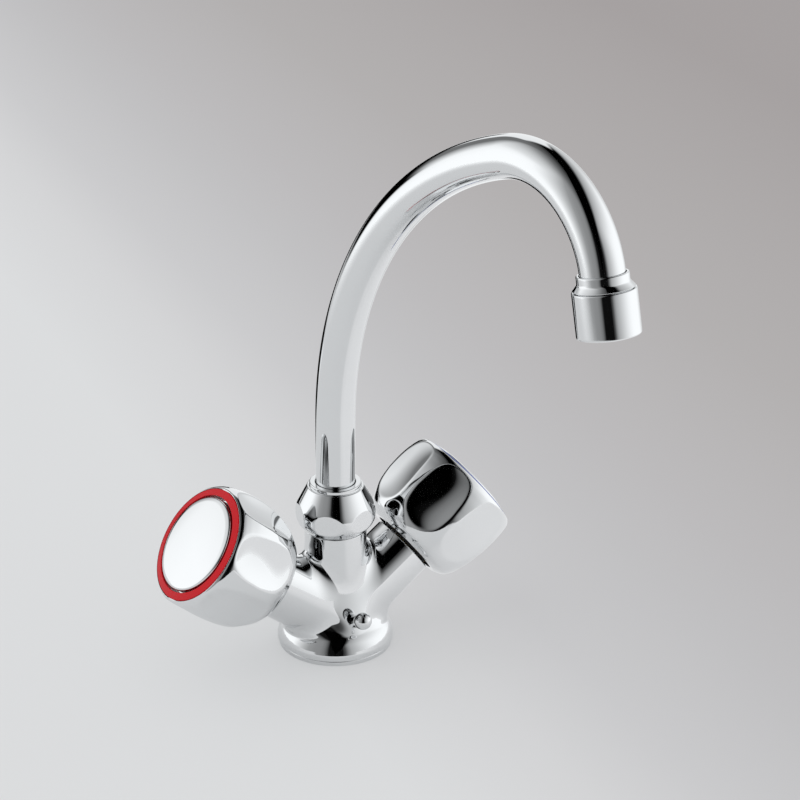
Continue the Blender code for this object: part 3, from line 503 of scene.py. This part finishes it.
def trueNormals(mesh):
    # the shading follows the melted surface itself and not the small cut faces
    count = len(mesh.loops)
    corners = np.zeros(count, np.int32)
    mesh.loops.foreach_get("vertex_index", corners)
    places = np.zeros(len(mesh.vertices) * 3)
    mesh.vertices.foreach_get("co", places)
    places = places.reshape(-1, 3)
    normals = np.zeros(count * 3)
    mesh.corner_normals.foreach_get("vector", normals)
    normals = normals.reshape(-1, 3)
    middles = np.zeros((count, 3))
    flats = np.zeros((count, 3))
    for face in mesh.polygons:
        middles[face.loop_start:face.loop_start + face.loop_total] = face.center
        flats[face.loop_start:face.loop_start + face.loop_total] = face.normal
    points = places[corners]
    inward = middles - points
    length = np.linalg.norm(inward, axis=1, keepdims=True)
    points = points + inward * np.minimum(0.3, 0.05 * mm / np.maximum(length, 1e-9))
    slope = meltedSlope(points, 0.02 * mm)
    slope /= np.maximum(np.linalg.norm(slope, axis=1, keepdims=True), 1e-9)
    onSkin = (np.abs(meltedDistance(points)) < 0.03 * mm) & ((slope * flats).sum(1) > 0.8)
    normals[onSkin] = slope[onSkin]
    mesh.normals_split_custom_set(normals.tolist())


makeCasting()
print("casting done")


# Ring under the foot

baseRing = {
    "outer": 24.7 * mm, "inner": 18.3 * mm, "height": 2.2 * mm, "grooveOuter": 23.6 * mm,
    "grooveInner": 19.4 * mm, "grooveTop": 1.5 * mm, "edge": 0.5 * mm, "steps": 160,
}


def makeBaseRing():
    b = baseRing
    line = softened([
        (b["outer"], b["height"], b["edge"]), (b["outer"], 0, 0.15 * mm), (b["grooveOuter"], 0, 0),
        (b["grooveOuter"], b["grooveTop"], 0), (b["grooveInner"], b["grooveTop"], 0),
        (b["grooveInner"], 0, 0), (b["inner"], 0, 0), (b["inner"], b["height"], 0),
    ], closed=True)
    piece = madeObject("footRing", turned(line, b["steps"]))
    return standsFor(piece, "base_ring", finishes["plate"])


makeBaseRing()


# Chain stud: a ball on a stem that leans out of the foot

chainStud = {
    "ball": 3.8 * mm, "stem": 2.9 * mm, "neck": 2.5 * mm, "reach": 25.2 * mm, "height": 20.8 * mm,
    "root": 15.3 * mm, "tilt": math.radians(27.0), "ballSteps": 30, "steps": 64,
}


def makeChainStud():
    s = chainStud
    stop = math.asin(s["neck"] / s["ball"])
    line = []
    for k in range(s["ballSteps"] + 1):
        angle = (math.pi - stop) * k / s["ballSteps"]
        line.append(Vector((s["ball"] * math.sin(angle), s["ball"] * math.cos(angle))))
    ballEnd = line[-1].y
    line += softened([
        (s["neck"], ballEnd - 0.5 * mm, 0), (s["stem"], ballEnd - 0.9 * mm, 0.2 * mm),
        (s["stem"], -s["root"], 0.2 * mm), (0, -s["root"], 0),
    ])
    place = Matrix.Translation((0, -s["reach"], s["height"]))
    place = place @ Matrix.Rotation(math.pi / 2 - s["tilt"], 4, "X")
    piece = madeObject("chainStud", turned(evenly(line, 0.6 * mm), s["steps"], closed=False), place)
    return standsFor(piece, "chain_stud", finishes["plate"])


makeChainStud()
print("foot ring and chain stud done")


# Flats on a turned shape: every point outside a flat is drawn in to it, with a soft edge

def withFlats(shape, count, phase, distanceAt, softness, fromRadius, dishAt=None, outside=1.0):
    places = np.array([vert.co[:] for vert in shape.verts])
    radius = np.hypot(places[:, 0], places[:, 1])
    sector = 2 * math.pi / count
    angle = np.arctan2(places[:, 1], places[:, 0]) - phase
    angle -= sector * np.round(angle / sector)
    flat = distanceAt(places[:, 2])
    if dishAt:
        # a dished flat is deepest along its middle and keeps its edges
        halfWidth = np.sqrt(np.maximum(outside ** 2 - flat ** 2, (0.1 * outside) ** 2))
        across = np.clip(flat * np.tan(angle) / halfWidth, -1, 1)
        flat = flat - dishAt(places[:, 2]) * (1 - across ** 2)
    limit = flat / np.cos(angle)
    blend = np.maximum(softness - np.abs(radius - limit), 0) / softness
    drawn = np.minimum(radius, limit) - blend * blend * softness / 4
    share = np.where(radius < fromRadius(places[:, 2]), 1.0, drawn / np.maximum(radius, 0.01 * mm))
    for vert, part in zip(shape.verts, share):
        vert.co.x *= part
        vert.co.y *= part


# Spout nut

nut = {
    "radius": 17.4 * mm, "bottom": 56.0 * mm, "top": 77.0 * mm, "foot": 14.45 * mm,
    "chestLow": 59.9 * mm, "chestHigh": 65.1 * mm, "coneRadius": 12.2 * mm, "coneTop": 75.2 * mm,
    "rimRadius": 11.2 * mm,
    "flat": 16.15 * mm, "flats": 6, "phase": math.radians(49.1), "softness": 0.3 * mm,
    "threadRadius": 13.3 * mm, "shoulder": 68.3 * mm, "boreRadius": 8.8 * mm, "steps": 360,
    "spacing": 0.35 * mm,
}


def makeNut():
    n = nut
    line = softened([
        (n["rimRadius"], n["top"], 0.5 * mm), (n["rimRadius"], n["coneTop"] + 0.1 * mm, 0.25 * mm),
        (n["coneRadius"], n["coneTop"], 0.5 * mm), (n["radius"], n["chestHigh"], 8 * mm),
        (n["radius"], n["chestLow"], 6 * mm), (n["foot"], n["bottom"], 0.4 * mm),
        (n["threadRadius"], n["bottom"], 0.3 * mm), (n["threadRadius"], n["shoulder"], 0),
        (n["boreRadius"], n["shoulder"], 0), (n["boreRadius"], n["top"], 0.2 * mm),
    ], closed=True, count=8)
    shape = turned(evenly(line, n["spacing"], closed=True), n["steps"])
    withFlats(
        shape, n["flats"], n["phase"], lambda z: n["flat"], n["softness"],
        lambda z: n["threadRadius"] + mm
    )
    return standsFor(madeObject("spoutNut", shape), "spout_nut", finishes["plate"])


makeNut()
print("spout nut done")


# Spout pipe, one ring pushed along the straight, the two bends and the tail

spout = {
    "swivel": math.radians(9.0), "radius": 8.5 * mm, "wall": 1.2 * mm, "start": 56.3 * mm,
    "riseTop": 106.2 * mm, "tail": 3.0 * mm,
    "bends": ((151.6 * mm, math.radians(72.3), 96), (42.1 * mm, math.radians(95.0), 80)),
    "segments": 112, "straightSteps": 20,
}


def spoutSteps():
    s = spout
    rise = Matrix.Translation((0, 0, (s["riseTop"] - s["start"]) / s["straightSteps"]))
    steps = [rise] * s["straightSteps"]
    for radius, sweep, count in s["bends"]:
        out = Matrix.Translation((0, -radius, 0))
        steps += [out @ Matrix.Rotation(sweep / count, 4, "X") @ out.inverted()] * count
    return steps + [Matrix.Translation((0, 0, s["tail"] / 2))] * 2


def spoutStart():
    return Matrix.Rotation(spout["swivel"], 4, "Z") @ Matrix.Translation((0, 0, spout["start"]))


def outletPlace():
    place = spoutStart()
    for step in spoutSteps():
        place = place @ step
    return place


def pipeWall(shape, radius):
    made = bmesh.ops.create_circle(
        shape, cap_ends=False, segments=spout["segments"], radius=radius, matrix=spoutStart()
    )
    verts = made["verts"]
    first = list({edge for vert in verts for edge in vert.link_edges})
    ring = first
    place = spoutStart()
    for step in spoutSteps():
        further = bmesh.ops.extrude_edge_only(shape, edges=ring)["geom"]
        ring = [item for item in further if isinstance(item, bmesh.types.BMEdge)]
        moved = [item for item in further if isinstance(item, bmesh.types.BMVert)]
        ahead = place @ step
        bmesh.ops.transform(shape, matrix=ahead @ place.inverted(), verts=moved)
        place = ahead
    return first, ring


def makePipe():
    shape = bmesh.new()
    outerStart, outerEnd = pipeWall(shape, spout["radius"])
    innerStart, innerEnd = pipeWall(shape, spout["radius"] - spout["wall"])
    for pair in (outerStart + innerStart, outerEnd + innerEnd):
        bmesh.ops.bridge_loops(shape, edges=pair)
    bmesh.ops.recalc_face_normals(shape, faces=shape.faces)
    return standsFor(madeObject("spoutPipe", shape), "spout_tube", finishes["plate"])


makePipe()
print("spout pipe done")


# Outlet fitting, aerator housing and the insert inside it

outlet = {
    "collar": 9.8 * mm, "collarLength": 4.0 * mm, "socket": 8.8 * mm, "water": 7.3 * mm,
    "housing": 12.06 * mm, "housingStart": 1.9 * mm, "housingLength": 17.0 * mm, "wall": 1.2 * mm,
    "threadLength": 8.0 * mm, "gap": 0.3 * mm,
    "lip": 1.8 * mm, "lipDepth": 1.4 * mm, "steps": 160, "insertPlate": 1.6 * mm,
    "insertWall": 1.0 * mm, "insertSteps": 96, "washer": 0.9 * mm,
    "gridCells": 15, "gridBar": 0.2 * mm, "gridThickness": 0.7 * mm, "gridSunk": 0.5 * mm,
}


def makeFitting():
    o = outlet
    shoulder = o["housing"] - 0.5 * mm
    inner = o["housing"] - o["wall"] - o["gap"]
    end = o["housingStart"] - o["gap"]
    threadEnd = o["housingStart"] + o["threadLength"]
    flare = curveThrough([
        (shoulder, end - 0.25 * mm), (o["collar"] + 1.0 * mm, end - 1.1 * mm),
        (o["collar"] + 0.15 * mm, end - 2.2 * mm), (o["collar"], end - 2.9 * mm),
    ])
    top = softened([
        (o["collar"], end - 2.95 * mm, 0), (o["collar"], -o["collarLength"], 0.7 * mm),
        (o["socket"], -o["collarLength"], 0.15 * mm), (o["socket"], o["gap"], 0),
        (o["water"], o["gap"], 0), (o["water"], threadEnd, 0), (inner, threadEnd, 0), (inner, end, 0),
        (shoulder - 0.1 * mm, end, 0),
    ])
    line = evenly(flare + top, 0.4 * mm, closed=True)
    piece = madeObject("outletFitting", turned(line, o["steps"]), outletPlace())
    return standsFor(piece, "outlet_fitting", finishes["plate"])


def makeHousing():
    o = outlet
    start, end = o["housingStart"], o["housingStart"] + o["housingLength"]
    inner = o["housing"] - o["wall"]
    line = softened([
        (o["housing"], end, 0.6 * mm), (o["housing"], start, 0.45 * mm), (inner, start, 0),
        (inner, end - o["lipDepth"], 0), (inner - o["lip"], end - o["lipDepth"], 0),
        (inner - o["lip"], end, 0.3 * mm),
    ], closed=True)
    shape = turned(evenly(line, 0.5 * mm, closed=True), o["steps"])
    piece = madeObject("aeratorHousing", shape, outletPlace())
    return standsFor(piece, "aerator_housing", finishes["plate"])


def makeInsert():
    # a cup whose floor is a small grid of drip holes
    o = outlet
    inner = o["housing"] - o["wall"]
    top = o["housingStart"] + o["housingLength"] - o["lipDepth"] - o["gap"]
    low = o["housingStart"] + o["threadLength"] + o["washer"] + 2 * o["gap"]
    rim = inner - o["gap"]
    gridRadius = inner - o["lip"] - 0.7 * mm
    cup = softened([
        (gridRadius, top, 0.2 * mm), (rim, top, 0.2 * mm), (rim, low, 0),
        (rim - o["insertWall"], low, 0), (rim - o["insertWall"], top - o["insertPlate"], 0),
        (gridRadius, top - o["insertPlate"], 0),
    ][::-1], closed=True)
    shape = turned(cup, o["insertSteps"])
    grid = bmesh.new()
    bmesh.ops.create_grid(
        grid, x_segments=o["gridCells"], y_segments=o["gridCells"], size=gridRadius * 1.1,
        matrix=Matrix.Translation((0, 0, top - o["gridSunk"]))
    )
    far = [face for face in grid.faces if face.calc_center_median().xy.length > gridRadius]
    bmesh.ops.delete(grid, geom=far, context="FACES")
    bars = set(bmesh.ops.inset_individual(grid, faces=grid.faces[:], thickness=o["gridBar"])["faces"])
    bmesh.ops.delete(grid, geom=[face for face in grid.faces if face not in bars], context="FACES")
    bmesh.ops.solidify(grid, geom=grid.faces[:], thickness=o["gridThickness"])
    mesh = bpy.data.meshes.new("insertGrid")
    grid.to_mesh(mesh)
    grid.free()
    shape.from_mesh(mesh)
    piece = madeObject("aeratorInsert", shape, outletPlace())
    return standsFor(piece, "aerator_insert", finishes["whitePlastic"])


makeFitting()
makeHousing()
makeInsert()
print("outlet done")


# Knobs, index rings and caps

knob = {
    "rear": 43.1 * mm, "length": 39.2 * mm, "radius": 28.6 * mm,
    "barrelShares": (
        (0.63, 0.0), (0.735, 0.036), (0.80, 0.08), (0.866, 0.166), (0.945, 0.30), (0.990, 0.475),
        (1.0, 0.62), (0.996, 0.74), (0.979, 0.84), (0.962, 0.90), (0.944, 0.94), (0.918, 0.971),
        (0.898, 0.985),
    ),
    "opening": 15.6 * mm, "rearLip": 2.0 * mm, "faceRadius": 25.45 * mm, "rimDrop": 0.4 * mm,
    "hollowFront": 24.0 * mm, "hollowRear": 16.6 * mm,
    "hollowMiddle": ((23.2 * mm, 0.40), (20.5 * mm, 0.19)),
    "faceDepth": 3.1 * mm, "seatGap": 0.3 * mm, "frontWall": 4.0 * mm, "hub": 8.0 * mm,
    "hubStart": 53.2 * mm, "bore": 4.2 * mm, "well": 6.0 * mm, "wellDepth": 2.7 * mm,
    "flats": 7, "flatStations": (0.205, 0.60, 0.93), "flatShares": (0.887, 0.933, 0.938),
    "phases": {"hot": math.radians(21.0), "cold": math.radians(313.75)},
    "dish": 1.1 * mm, "dishSpan": (0.53, 0.44), "softness": 0.4 * mm, "steps": 336, "spacing": 0.7 * mm,
}
index = {"inner": 21.9 * mm, "outer": 25.15 * mm, "height": 2.9 * mm, "slope": 0.35 * mm, "steps": 224}
cap = {
    "radius": 20.95 * mm, "edge": 4.1 * mm, "dome": 1.3 * mm, "domeSteps": 24, "wall": 1.2 * mm,
    "rounding": 1.0 * mm, "steps": 224,
}


def faceSeat():
    # where the index ring and the cap stand, a little off the floor of the knob's face
    return knob["rear"] + knob["length"] - knob["faceDepth"] + knob["seatGap"]


def flatDistance(height):
    # a shallow arch along the knob through three places
    station = (height - knob["rear"]) / knob["length"]
    total = 0.0
    for i, (place, share) in enumerate(zip(knob["flatStations"], knob["flatShares"])):
        weight = 1.0
        for j, other in enumerate(knob["flatStations"]):
            if j != i:
                weight *= (station - other) / (place - other)
        total += share * weight
    return knob["radius"] * total


def dishDepth(height):
    # none at the ends of the flats
    middle, half = knob["dishSpan"]
    along = np.clip(((height - knob["rear"]) / knob["length"] - middle) / half, -1, 1)
    return knob["dish"] * (1 - along ** 4)


def makeKnob(side):
    k = knob
    front = k["rear"] + k["length"]
    floor = front - k["faceDepth"]
    barrel = [(k["radius"] * r, k["rear"] + k["length"] * s) for r, s in k["barrelShares"]]
    outside = curveThrough(barrel)
    rim = (barrel[-1][0] + k["faceRadius"]) / 2
    hollow = [(radius, k["rear"] + share * k["length"], 0) for radius, share in k["hollowMiddle"]]
    inside = softened([
        (*barrel[-1], 0), (rim, front - k["rimDrop"], 0),
        (k["faceRadius"], front - k["rimDrop"], 0.1 * mm), (k["faceRadius"], floor, 0),
        (k["well"], floor, 0.2 * mm), (k["well"], floor - k["wellDepth"], 0),
        (k["bore"], floor - k["wellDepth"], 0), (k["bore"], k["hubStart"], 0),
        (k["hub"], k["hubStart"], 0.3 * mm), (k["hub"], floor - k["frontWall"], 1.0 * mm),
        (k["hollowFront"], floor - k["frontWall"], 1.5 * mm), *hollow,
        (k["hollowRear"], k["rear"] + k["rearLip"], 0),
        (k["opening"], k["rear"] + k["rearLip"], 0.2 * mm), (k["opening"], k["rear"], 0.3 * mm),
        (barrel[0][0] - 0.2 * mm, k["rear"], 0),
    ])
    line = evenly(outside + inside[1:], k["spacing"], closed=True)
    shape = turned(line, k["steps"])
    withFlats(
        shape, k["flats"], k["phases"][side] - math.pi / 2, flatDistance, k["softness"],
        lambda z: flatDistance(z) - k["dish"] - 0.8 * mm, dishDepth, k["radius"]
    )
    piece = madeObject(side + "Knob", shape, armPlace(side))
    return standsFor(piece, side + "_knob", finishes["plate"])


def makeIndexRing(side):
    seat = faceSeat()
    top = seat + index["height"]
    line = softened([
        (index["inner"], seat, 0), (index["inner"], top + index["slope"], 0.25 * mm),
        (index["outer"], top - index["slope"], 0.3 * mm), (index["outer"], seat, 0),
    ], closed=True)
    shape = turned(evenly(line, 0.5 * mm, closed=True), index["steps"])
    piece = madeObject(side + "IndexRing", shape, armPlace(side))
    finish, slot = ("redPlastic", "red_plastic") if side == "hot" else ("bluePlastic", "blue_plastic")
    return standsFor(piece, side + "_index_ring", finishes[finish])


def makeCap(side):
    c = cap
    seat = faceSeat()
    edgeTop = seat + c["edge"]
    dome = []
    for k in range(c["domeSteps"] + 1):
        share = k / c["domeSteps"]
        height = edgeTop + c["dome"] * (1 - share * share) - 0.1 * mm
        dome.append(((c["radius"] - 0.2 * mm) * share, height, 0))
    skirt = [
        (c["radius"], edgeTop - 0.4 * mm, c["rounding"]), (c["radius"], seat, 0.1 * mm),
        (c["radius"] - c["wall"], seat, 0), (c["radius"] - c["wall"], edgeTop - 2 * c["wall"], 0.8 * mm),
        (0, edgeTop - c["wall"], 0),
    ]
    line = softened(dome[:-2] + skirt)
    shape = turned(evenly(line, 0.6 * mm), c["steps"], closed=False)
    piece = madeObject(side + "Cap", shape, armPlace(side))
    return standsFor(piece, side + "_cap", finishes["plate"])


for side in ("hot", "cold"):
    makeKnob(side)
    makeIndexRing(side)
    makeCap(side)
print("knobs done")


# The inner pieces keep their own shape and get their finish

innerFinishes = {
    "brass": ("bonnet", "spindle", "plunger"),
    "steel": ("circlip", "washer_screw", "knob_screw"),
    "rubber": ("bonnet_seal", "spindle_oring", "washer"),
}
singleFinishes = {
    "brass": ("spout_ferrule",),
    "rubber": ("base_gasket", "spout_oring_lower", "spout_oring_upper", "aerator_washer"),
    "whitePlastic": ("spout_slip_ring",),
}
for finish, names in innerFinishes.items():
    for name in names:
        for side in ("hot_", "cold_"):
            nodes[side + name].material_slots[0].material = finishes[finish]
for finish, names in singleFinishes.items():
    for name in names:
        nodes[name].material_slots[0].material = finishes[finish]
print("inner pieces finished")


# Studio: pale floor, a lit paper wall on each side and darkness behind the camera

studio = {
    "floorSize": 12.0, "floorTurn": math.radians(6.0), "floorReach": (-0.02, 0.62),
    # painted shade: the paper's colour falls off towards the far right, as the light would
    "floorPaintedShade": (
        (0.0, (0.715, 0.725, 0.735)), (0.10, (0.665, 0.668, 0.678)), (0.17, (0.600, 0.600, 0.612)),
        (0.28, (0.540, 0.536, 0.546)), (0.36, (0.510, 0.500, 0.508)), (0.55, (0.455, 0.440, 0.440)),
        (1.0, (0.385, 0.362, 0.362)),
    ),
    # painted reflection: a brighter floor colour that only the chrome sees
    "mirroredPaintedReflection": (
        (0.0, (0.72, 0.73, 0.74)), (0.05, (0.73, 0.74, 0.75)), (0.09, (0.83, 0.835, 0.845)),
        (0.18, (0.88, 0.885, 0.895)), (1.0, (0.92, 0.925, 0.935)),
    ),
    "selfLit": {"inCamera": 0.6, "inChrome": 0.35},
    # how far the chrome mirrors the floor, to the sides and, stretched, to the front and back
    "mirroredFloor": (0.32, 0.78), "mirroredStretch": 2.2,
    # where the floor ends for the chrome behind the tap: from the left, from the front
    "cornerLeft": (-0.34, -0.28), "cornerFront": (0.17, 0.21),
    # the dark left corner on the compass, and the height where its darkness ends
    "darkCompass": (math.radians(-130), math.radians(-137)), "darkTop": (0.1, 0.0),
    "back": Vector((-0.4707, -0.8823, 0.0)), "backdrop": (0.92, 0.92, 0.92),
    "wallStrength": 1.28, "wallTint": (0.985, 1.0, 1.01),
    # brightness along the compass: 0 is behind the camera, plus is to its right
    "compass": (
        (-180, 0.15), (-150, 0.15), (-138, 0.50), (-126, 0.90), (-114, 0.98), (-100, 1.0), (-90, 0.96),
        (-78, 0.69), (-66, 0.47), (-54, 0.30), (-42, 0.25), (-30, 0.23), (-22, 0.17), (-18, 0.10),
        (-13, 0.004), (14, 0.004), (20, 0.07), (26, 0.24), (32, 0.37), (42, 0.48), (54, 0.62),
        (66, 0.76), (78, 0.88), (90, 0.97), (104, 1.0), (126, 0.97), (138, 0.82), (150, 0.63),
        (162, 0.55), (180, 0.5),
    ),
    # brightness up the walls, by the angle above their foot
    "leftRise": (
        (0, 1.0), (15, 0.98), (25, 0.89), (35, 0.71), (45, 0.59), (55, 0.45), (65, 0.28), (75, 0.14),
        (88, 0.03),
    ),
    "rightRise": (
        (0, 1.0), (15, 0.97), (25, 0.87), (35, 0.71), (45, 0.56), (55, 0.41), (61, 0.30), (66, 0.06),
        (69, 0.0),
    ),
    # the paper behind the tap: half its gap on the compass, how high it reaches, its brightness
    "paperSides": (math.radians(163), math.radians(169)), "paperTop": (0.70, 0.58), "paperLevel": 0.78,
    "lamp": {"size": 1.6, "energy": 5.0, "place": (-1.2, 0.4, 1.8)},
    "camera": {
        "place": (-0.4530, -0.8494, 0.5406), "ahead": (0.4531, 0.7945, -0.4044),
        "right": (0.8708, -0.4915, 0.0101), "lens": 112.16,
    },
}


def setRamp(ramp, stops, low, high):
    elements = ramp.color_ramp.elements
    while len(elements) > 1:
        elements.remove(elements[-1])
    for i, (place, level) in enumerate(stops):
        share = (place - low) / (high - low)
        stop = elements[0] if i == 0 else elements.new(share)
        stop.position = share
        stop.color = (level, level, level, 1) if isinstance(level, float) else (*level, 1)


def eased(tree, value, low, high):
    # 0 at low and before it, 1 at high and past it
    node = tree.nodes.new("ShaderNodeMapRange")
    node.interpolation_type = "SMOOTHSTEP"
    node.inputs["From Min"].default_value = low
    node.inputs["From Max"].default_value = high
    tree.links.new(value, node.inputs["Value"])
    return node.outputs["Result"]


def mathsIn(tree):
    # the maths nodes of one tree, between outputs and plain numbers
    def maths(operation, *values):
        node = tree.nodes.new("ShaderNodeMath")
        node.operation = operation
        for socket, value in zip(node.inputs, values):
            if isinstance(value, bpy.types.NodeSocket):
                tree.links.new(value, socket)
            else:
                socket.default_value = value
        return node.outputs[0]

    return maths


def makeFloor():
    shape = bmesh.new()
    bmesh.ops.create_grid(shape, x_segments=2, y_segments=2, size=studio["floorSize"] / 2)
    floor = madeObject("floor", shape, Matrix.Translation((0, 2.0, 0)))
    material = bpy.data.materials.new("floorPaper")
    material.use_nodes = True
    tree = material.node_tree
    link = tree.links.new
    maths = mathsIn(tree)
    shader = tree.nodes["Principled BSDF"]
    shader.inputs["Roughness"].default_value = 0.9
    shader.inputs["Specular IOR Level"].default_value = 0.1
    place = tree.nodes.new("ShaderNodeTexCoord")
    ray = tree.nodes.new("ShaderNodeLightPath")
    inCamera, inChrome = ray.outputs["Is Camera Ray"], ray.outputs["Is Glossy Ray"]

    # painted shade: the paper is painted darker towards the right, and the chrome sees a painted brighter
    # floor there
    turn = tree.nodes.new("ShaderNodeMapping")
    turn.inputs["Rotation"].default_value = (0, 0, studio["floorTurn"])
    split = tree.nodes.new("ShaderNodeSeparateXYZ")
    spread = tree.nodes.new("ShaderNodeMapRange")
    for label, value in zip(("From Min", "From Max"), studio["floorReach"]):
        spread.inputs[label].default_value = value
    link(place.outputs["Object"], turn.inputs["Vector"])
    link(turn.outputs["Vector"], split.inputs["Vector"])
    link(split.outputs["X"], spread.inputs["Value"])
    colour = tree.nodes.new("ShaderNodeMix")
    colour.data_type = "RGBA"
    link(inChrome, colour.inputs["Factor"])
    for label, stops in (("A", studio["floorPaintedShade"]), ("B", studio["mirroredPaintedReflection"])):
        ramp = tree.nodes.new("ShaderNodeValToRGB")
        setRamp(ramp, stops, 0, 1)
        link(spread.outputs["Result"], ramp.inputs["Fac"])
        link(ramp.outputs["Color"], colour.inputs[label])
    link(colour.outputs["Result"], shader.inputs["Base Color"])

    # part of the paper's brightness is its own, which keeps the shadow faint
    glow = tree.nodes.new("ShaderNodeEmission")
    link(colour.outputs["Result"], glow.inputs["Color"])
    share = maths("MULTIPLY", inChrome, studio["selfLit"]["inChrome"])
    share = maths("MULTIPLY_ADD", inCamera, studio["selfLit"]["inCamera"], share)

    # the chrome mirrors only the floor close by, and the walls beyond it
    reach = tree.nodes.new("ShaderNodeMapping")
    reach.vector_type = "TEXTURE"
    reach.inputs["Rotation"].default_value = (0, 0, math.atan2(studio["back"].x, -studio["back"].y))
    reach.inputs["Scale"].default_value = (1, studio["mirroredStretch"], 1)
    away = tree.nodes.new("ShaderNodeVectorMath")
    away.operation = "LENGTH"
    sides = tree.nodes.new("ShaderNodeSeparateXYZ")
    link(place.outputs["Object"], reach.inputs["Vector"])
    link(reach.outputs["Vector"], away.inputs[0])
    link(reach.outputs["Vector"], sides.inputs["Vector"])
    beyond = eased(tree, away.outputs["Value"], *studio["mirroredFloor"])
    # nor the part behind the tap towards the left, which gives the pipe its dark edge
    leftPart = eased(tree, sides.outputs["X"], *studio["cornerLeft"])
    front = [part / studio["mirroredStretch"] for part in studio["cornerFront"]]
    rearPart = eased(tree, sides.outputs["Y"], *front)
    hidden = maths("MULTIPLY_ADD", leftPart, rearPart, beyond)
    hidden.node.use_clamp = True

    clear = tree.nodes.new("ShaderNodeBsdfTransparent")
    surface = shader.outputs["BSDF"]
    unseen = maths("MULTIPLY", hidden, inChrome)
    for layer, factor in ((glow.outputs["Emission"], share), (clear.outputs["BSDF"], unseen)):
        mix = tree.nodes.new("ShaderNodeMixShader")
        link(factor, mix.inputs["Fac"])
        link(surface, mix.inputs[1])
        link(layer, mix.inputs[2])
        surface = mix.outputs["Shader"]
    link(surface, tree.nodes["Material Output"].inputs["Surface"])
    floor.data.materials.append(material)


def makeWalls():
    # what the chrome mirrors: paper walls left and right of the view and behind the tap, all else dark
    world = bpy.data.worlds.new("studioWalls")
    bpy.context.scene.world = world
    world.use_nodes = True
    tree = world.node_tree
    link = tree.links.new
    maths = mathsIn(tree)

    def ramped(value, stops, low, high):
        spread = tree.nodes.new("ShaderNodeMapRange")
        spread.inputs["From Min"].default_value = math.radians(low)
        spread.inputs["From Max"].default_value = math.radians(high)
        ramp = tree.nodes.new("ShaderNodeValToRGB")
        setRamp(ramp, stops, low, high)
        link(value, spread.inputs["Value"])
        link(spread.outputs["Result"], ramp.inputs["Fac"])
        return ramp.outputs["Color"]

    sky = tree.nodes["Background"]
    place = tree.nodes.new("ShaderNodeTexCoord")
    turn = tree.nodes.new("ShaderNodeMapping")
    split = tree.nodes.new("ShaderNodeSeparateXYZ")
    back = studio["back"]
    turn.inputs["Rotation"].default_value = (0, 0, math.atan2(back.x, back.y))
    link(place.outputs["Generated"], turn.inputs["Vector"])
    link(turn.outputs["Vector"], split.inputs["Vector"])
    left, behind, up = split.outputs
    right = maths("MULTIPLY", left, -1.0)
    compass = maths("ARCTAN2", right, behind)
    across = ramped(compass, studio["compass"], -180, 180)
    rise = maths("ARCTAN2", up, maths("ABSOLUTE", right))
    leftRise = ramped(rise, studio["leftRise"], 0, 90)
    rightRise = ramped(rise, studio["rightRise"], 0, 90)
    onRight = maths("GREATER_THAN", right, 0.0)
    onLeft = maths("SUBTRACT", 1.0, onRight)
    height = maths("ADD", maths("MULTIPLY", rightRise, onRight), maths("MULTIPLY", leftRise, onLeft))
    walls = maths("MAXIMUM", maths("SMOOTH_MIN", across, height, 0.2), 0.0)
    paper = eased(tree, maths("ABSOLUTE", compass), *studio["paperSides"])
    paper = maths("MULTIPLY", paper, studio["paperLevel"])
    paper = maths("MULTIPLY", paper, eased(tree, up, *studio["paperTop"]))
    corner = eased(tree, compass, *studio["darkCompass"])
    corner = maths("MULTIPLY", corner, eased(tree, up, *studio["darkTop"]))
    level = maths("MULTIPLY", maths("MAXIMUM", walls, paper), studio["wallStrength"])
    level = maths("MULTIPLY", level, maths("SUBTRACT", 1.0, corner))

    ray = tree.nodes.new("ShaderNodeLightPath")
    tinted = tree.nodes.new("ShaderNodeVectorMath")
    tinted.operation = "SCALE"
    tinted.inputs[0].default_value = studio["wallTint"]
    link(level, tinted.inputs["Scale"])
    pick = tree.nodes.new("ShaderNodeMix")
    pick.data_type = "RGBA"
    pick.inputs["A"].default_value = (*studio["backdrop"], 1)
    link(ray.outputs["Is Glossy Ray"], pick.inputs["Factor"])
    link(tinted.outputs["Vector"], pick.inputs["B"])
    link(pick.outputs["Result"], sky.inputs["Color"])


def makeLamp():
    data = bpy.data.lights.new("softLamp", "AREA")
    data.shape = "SQUARE"
    data.size = studio["lamp"]["size"]
    data.energy = studio["lamp"]["energy"]
    lamp = bpy.data.objects.new("softLamp", data)
    bpy.context.scene.collection.objects.link(lamp)
    lamp.location = studio["lamp"]["place"]
    lamp.rotation_euler = (-lamp.location).to_track_quat("-Z", "Y").to_euler()
    lamp.visible_glossy = False


def makeCamera():
    view = studio["camera"]
    data = bpy.data.cameras.new("camera")
    data.lens = view["lens"]
    data.sensor_width = 36.0
    data.clip_start = 0.01
    data.clip_end = 50.0
    camera = bpy.data.objects.new("camera", data)
    bpy.context.scene.collection.objects.link(camera)
    ahead = Vector(view["ahead"]).normalized()
    right = Vector(view["right"])
    right = (right - ahead * right.dot(ahead)).normalized()
    up = right.cross(ahead)
    turn = Matrix((right, up, -ahead)).transposed().to_4x4()
    camera.matrix_world = Matrix.Translation(view["place"]) @ turn
    bpy.context.scene.camera = camera


makeFloor()
makeWalls()
makeLamp()
makeCamera()
bpy.context.scene.view_settings.view_transform = "Standard"
print("studio done")
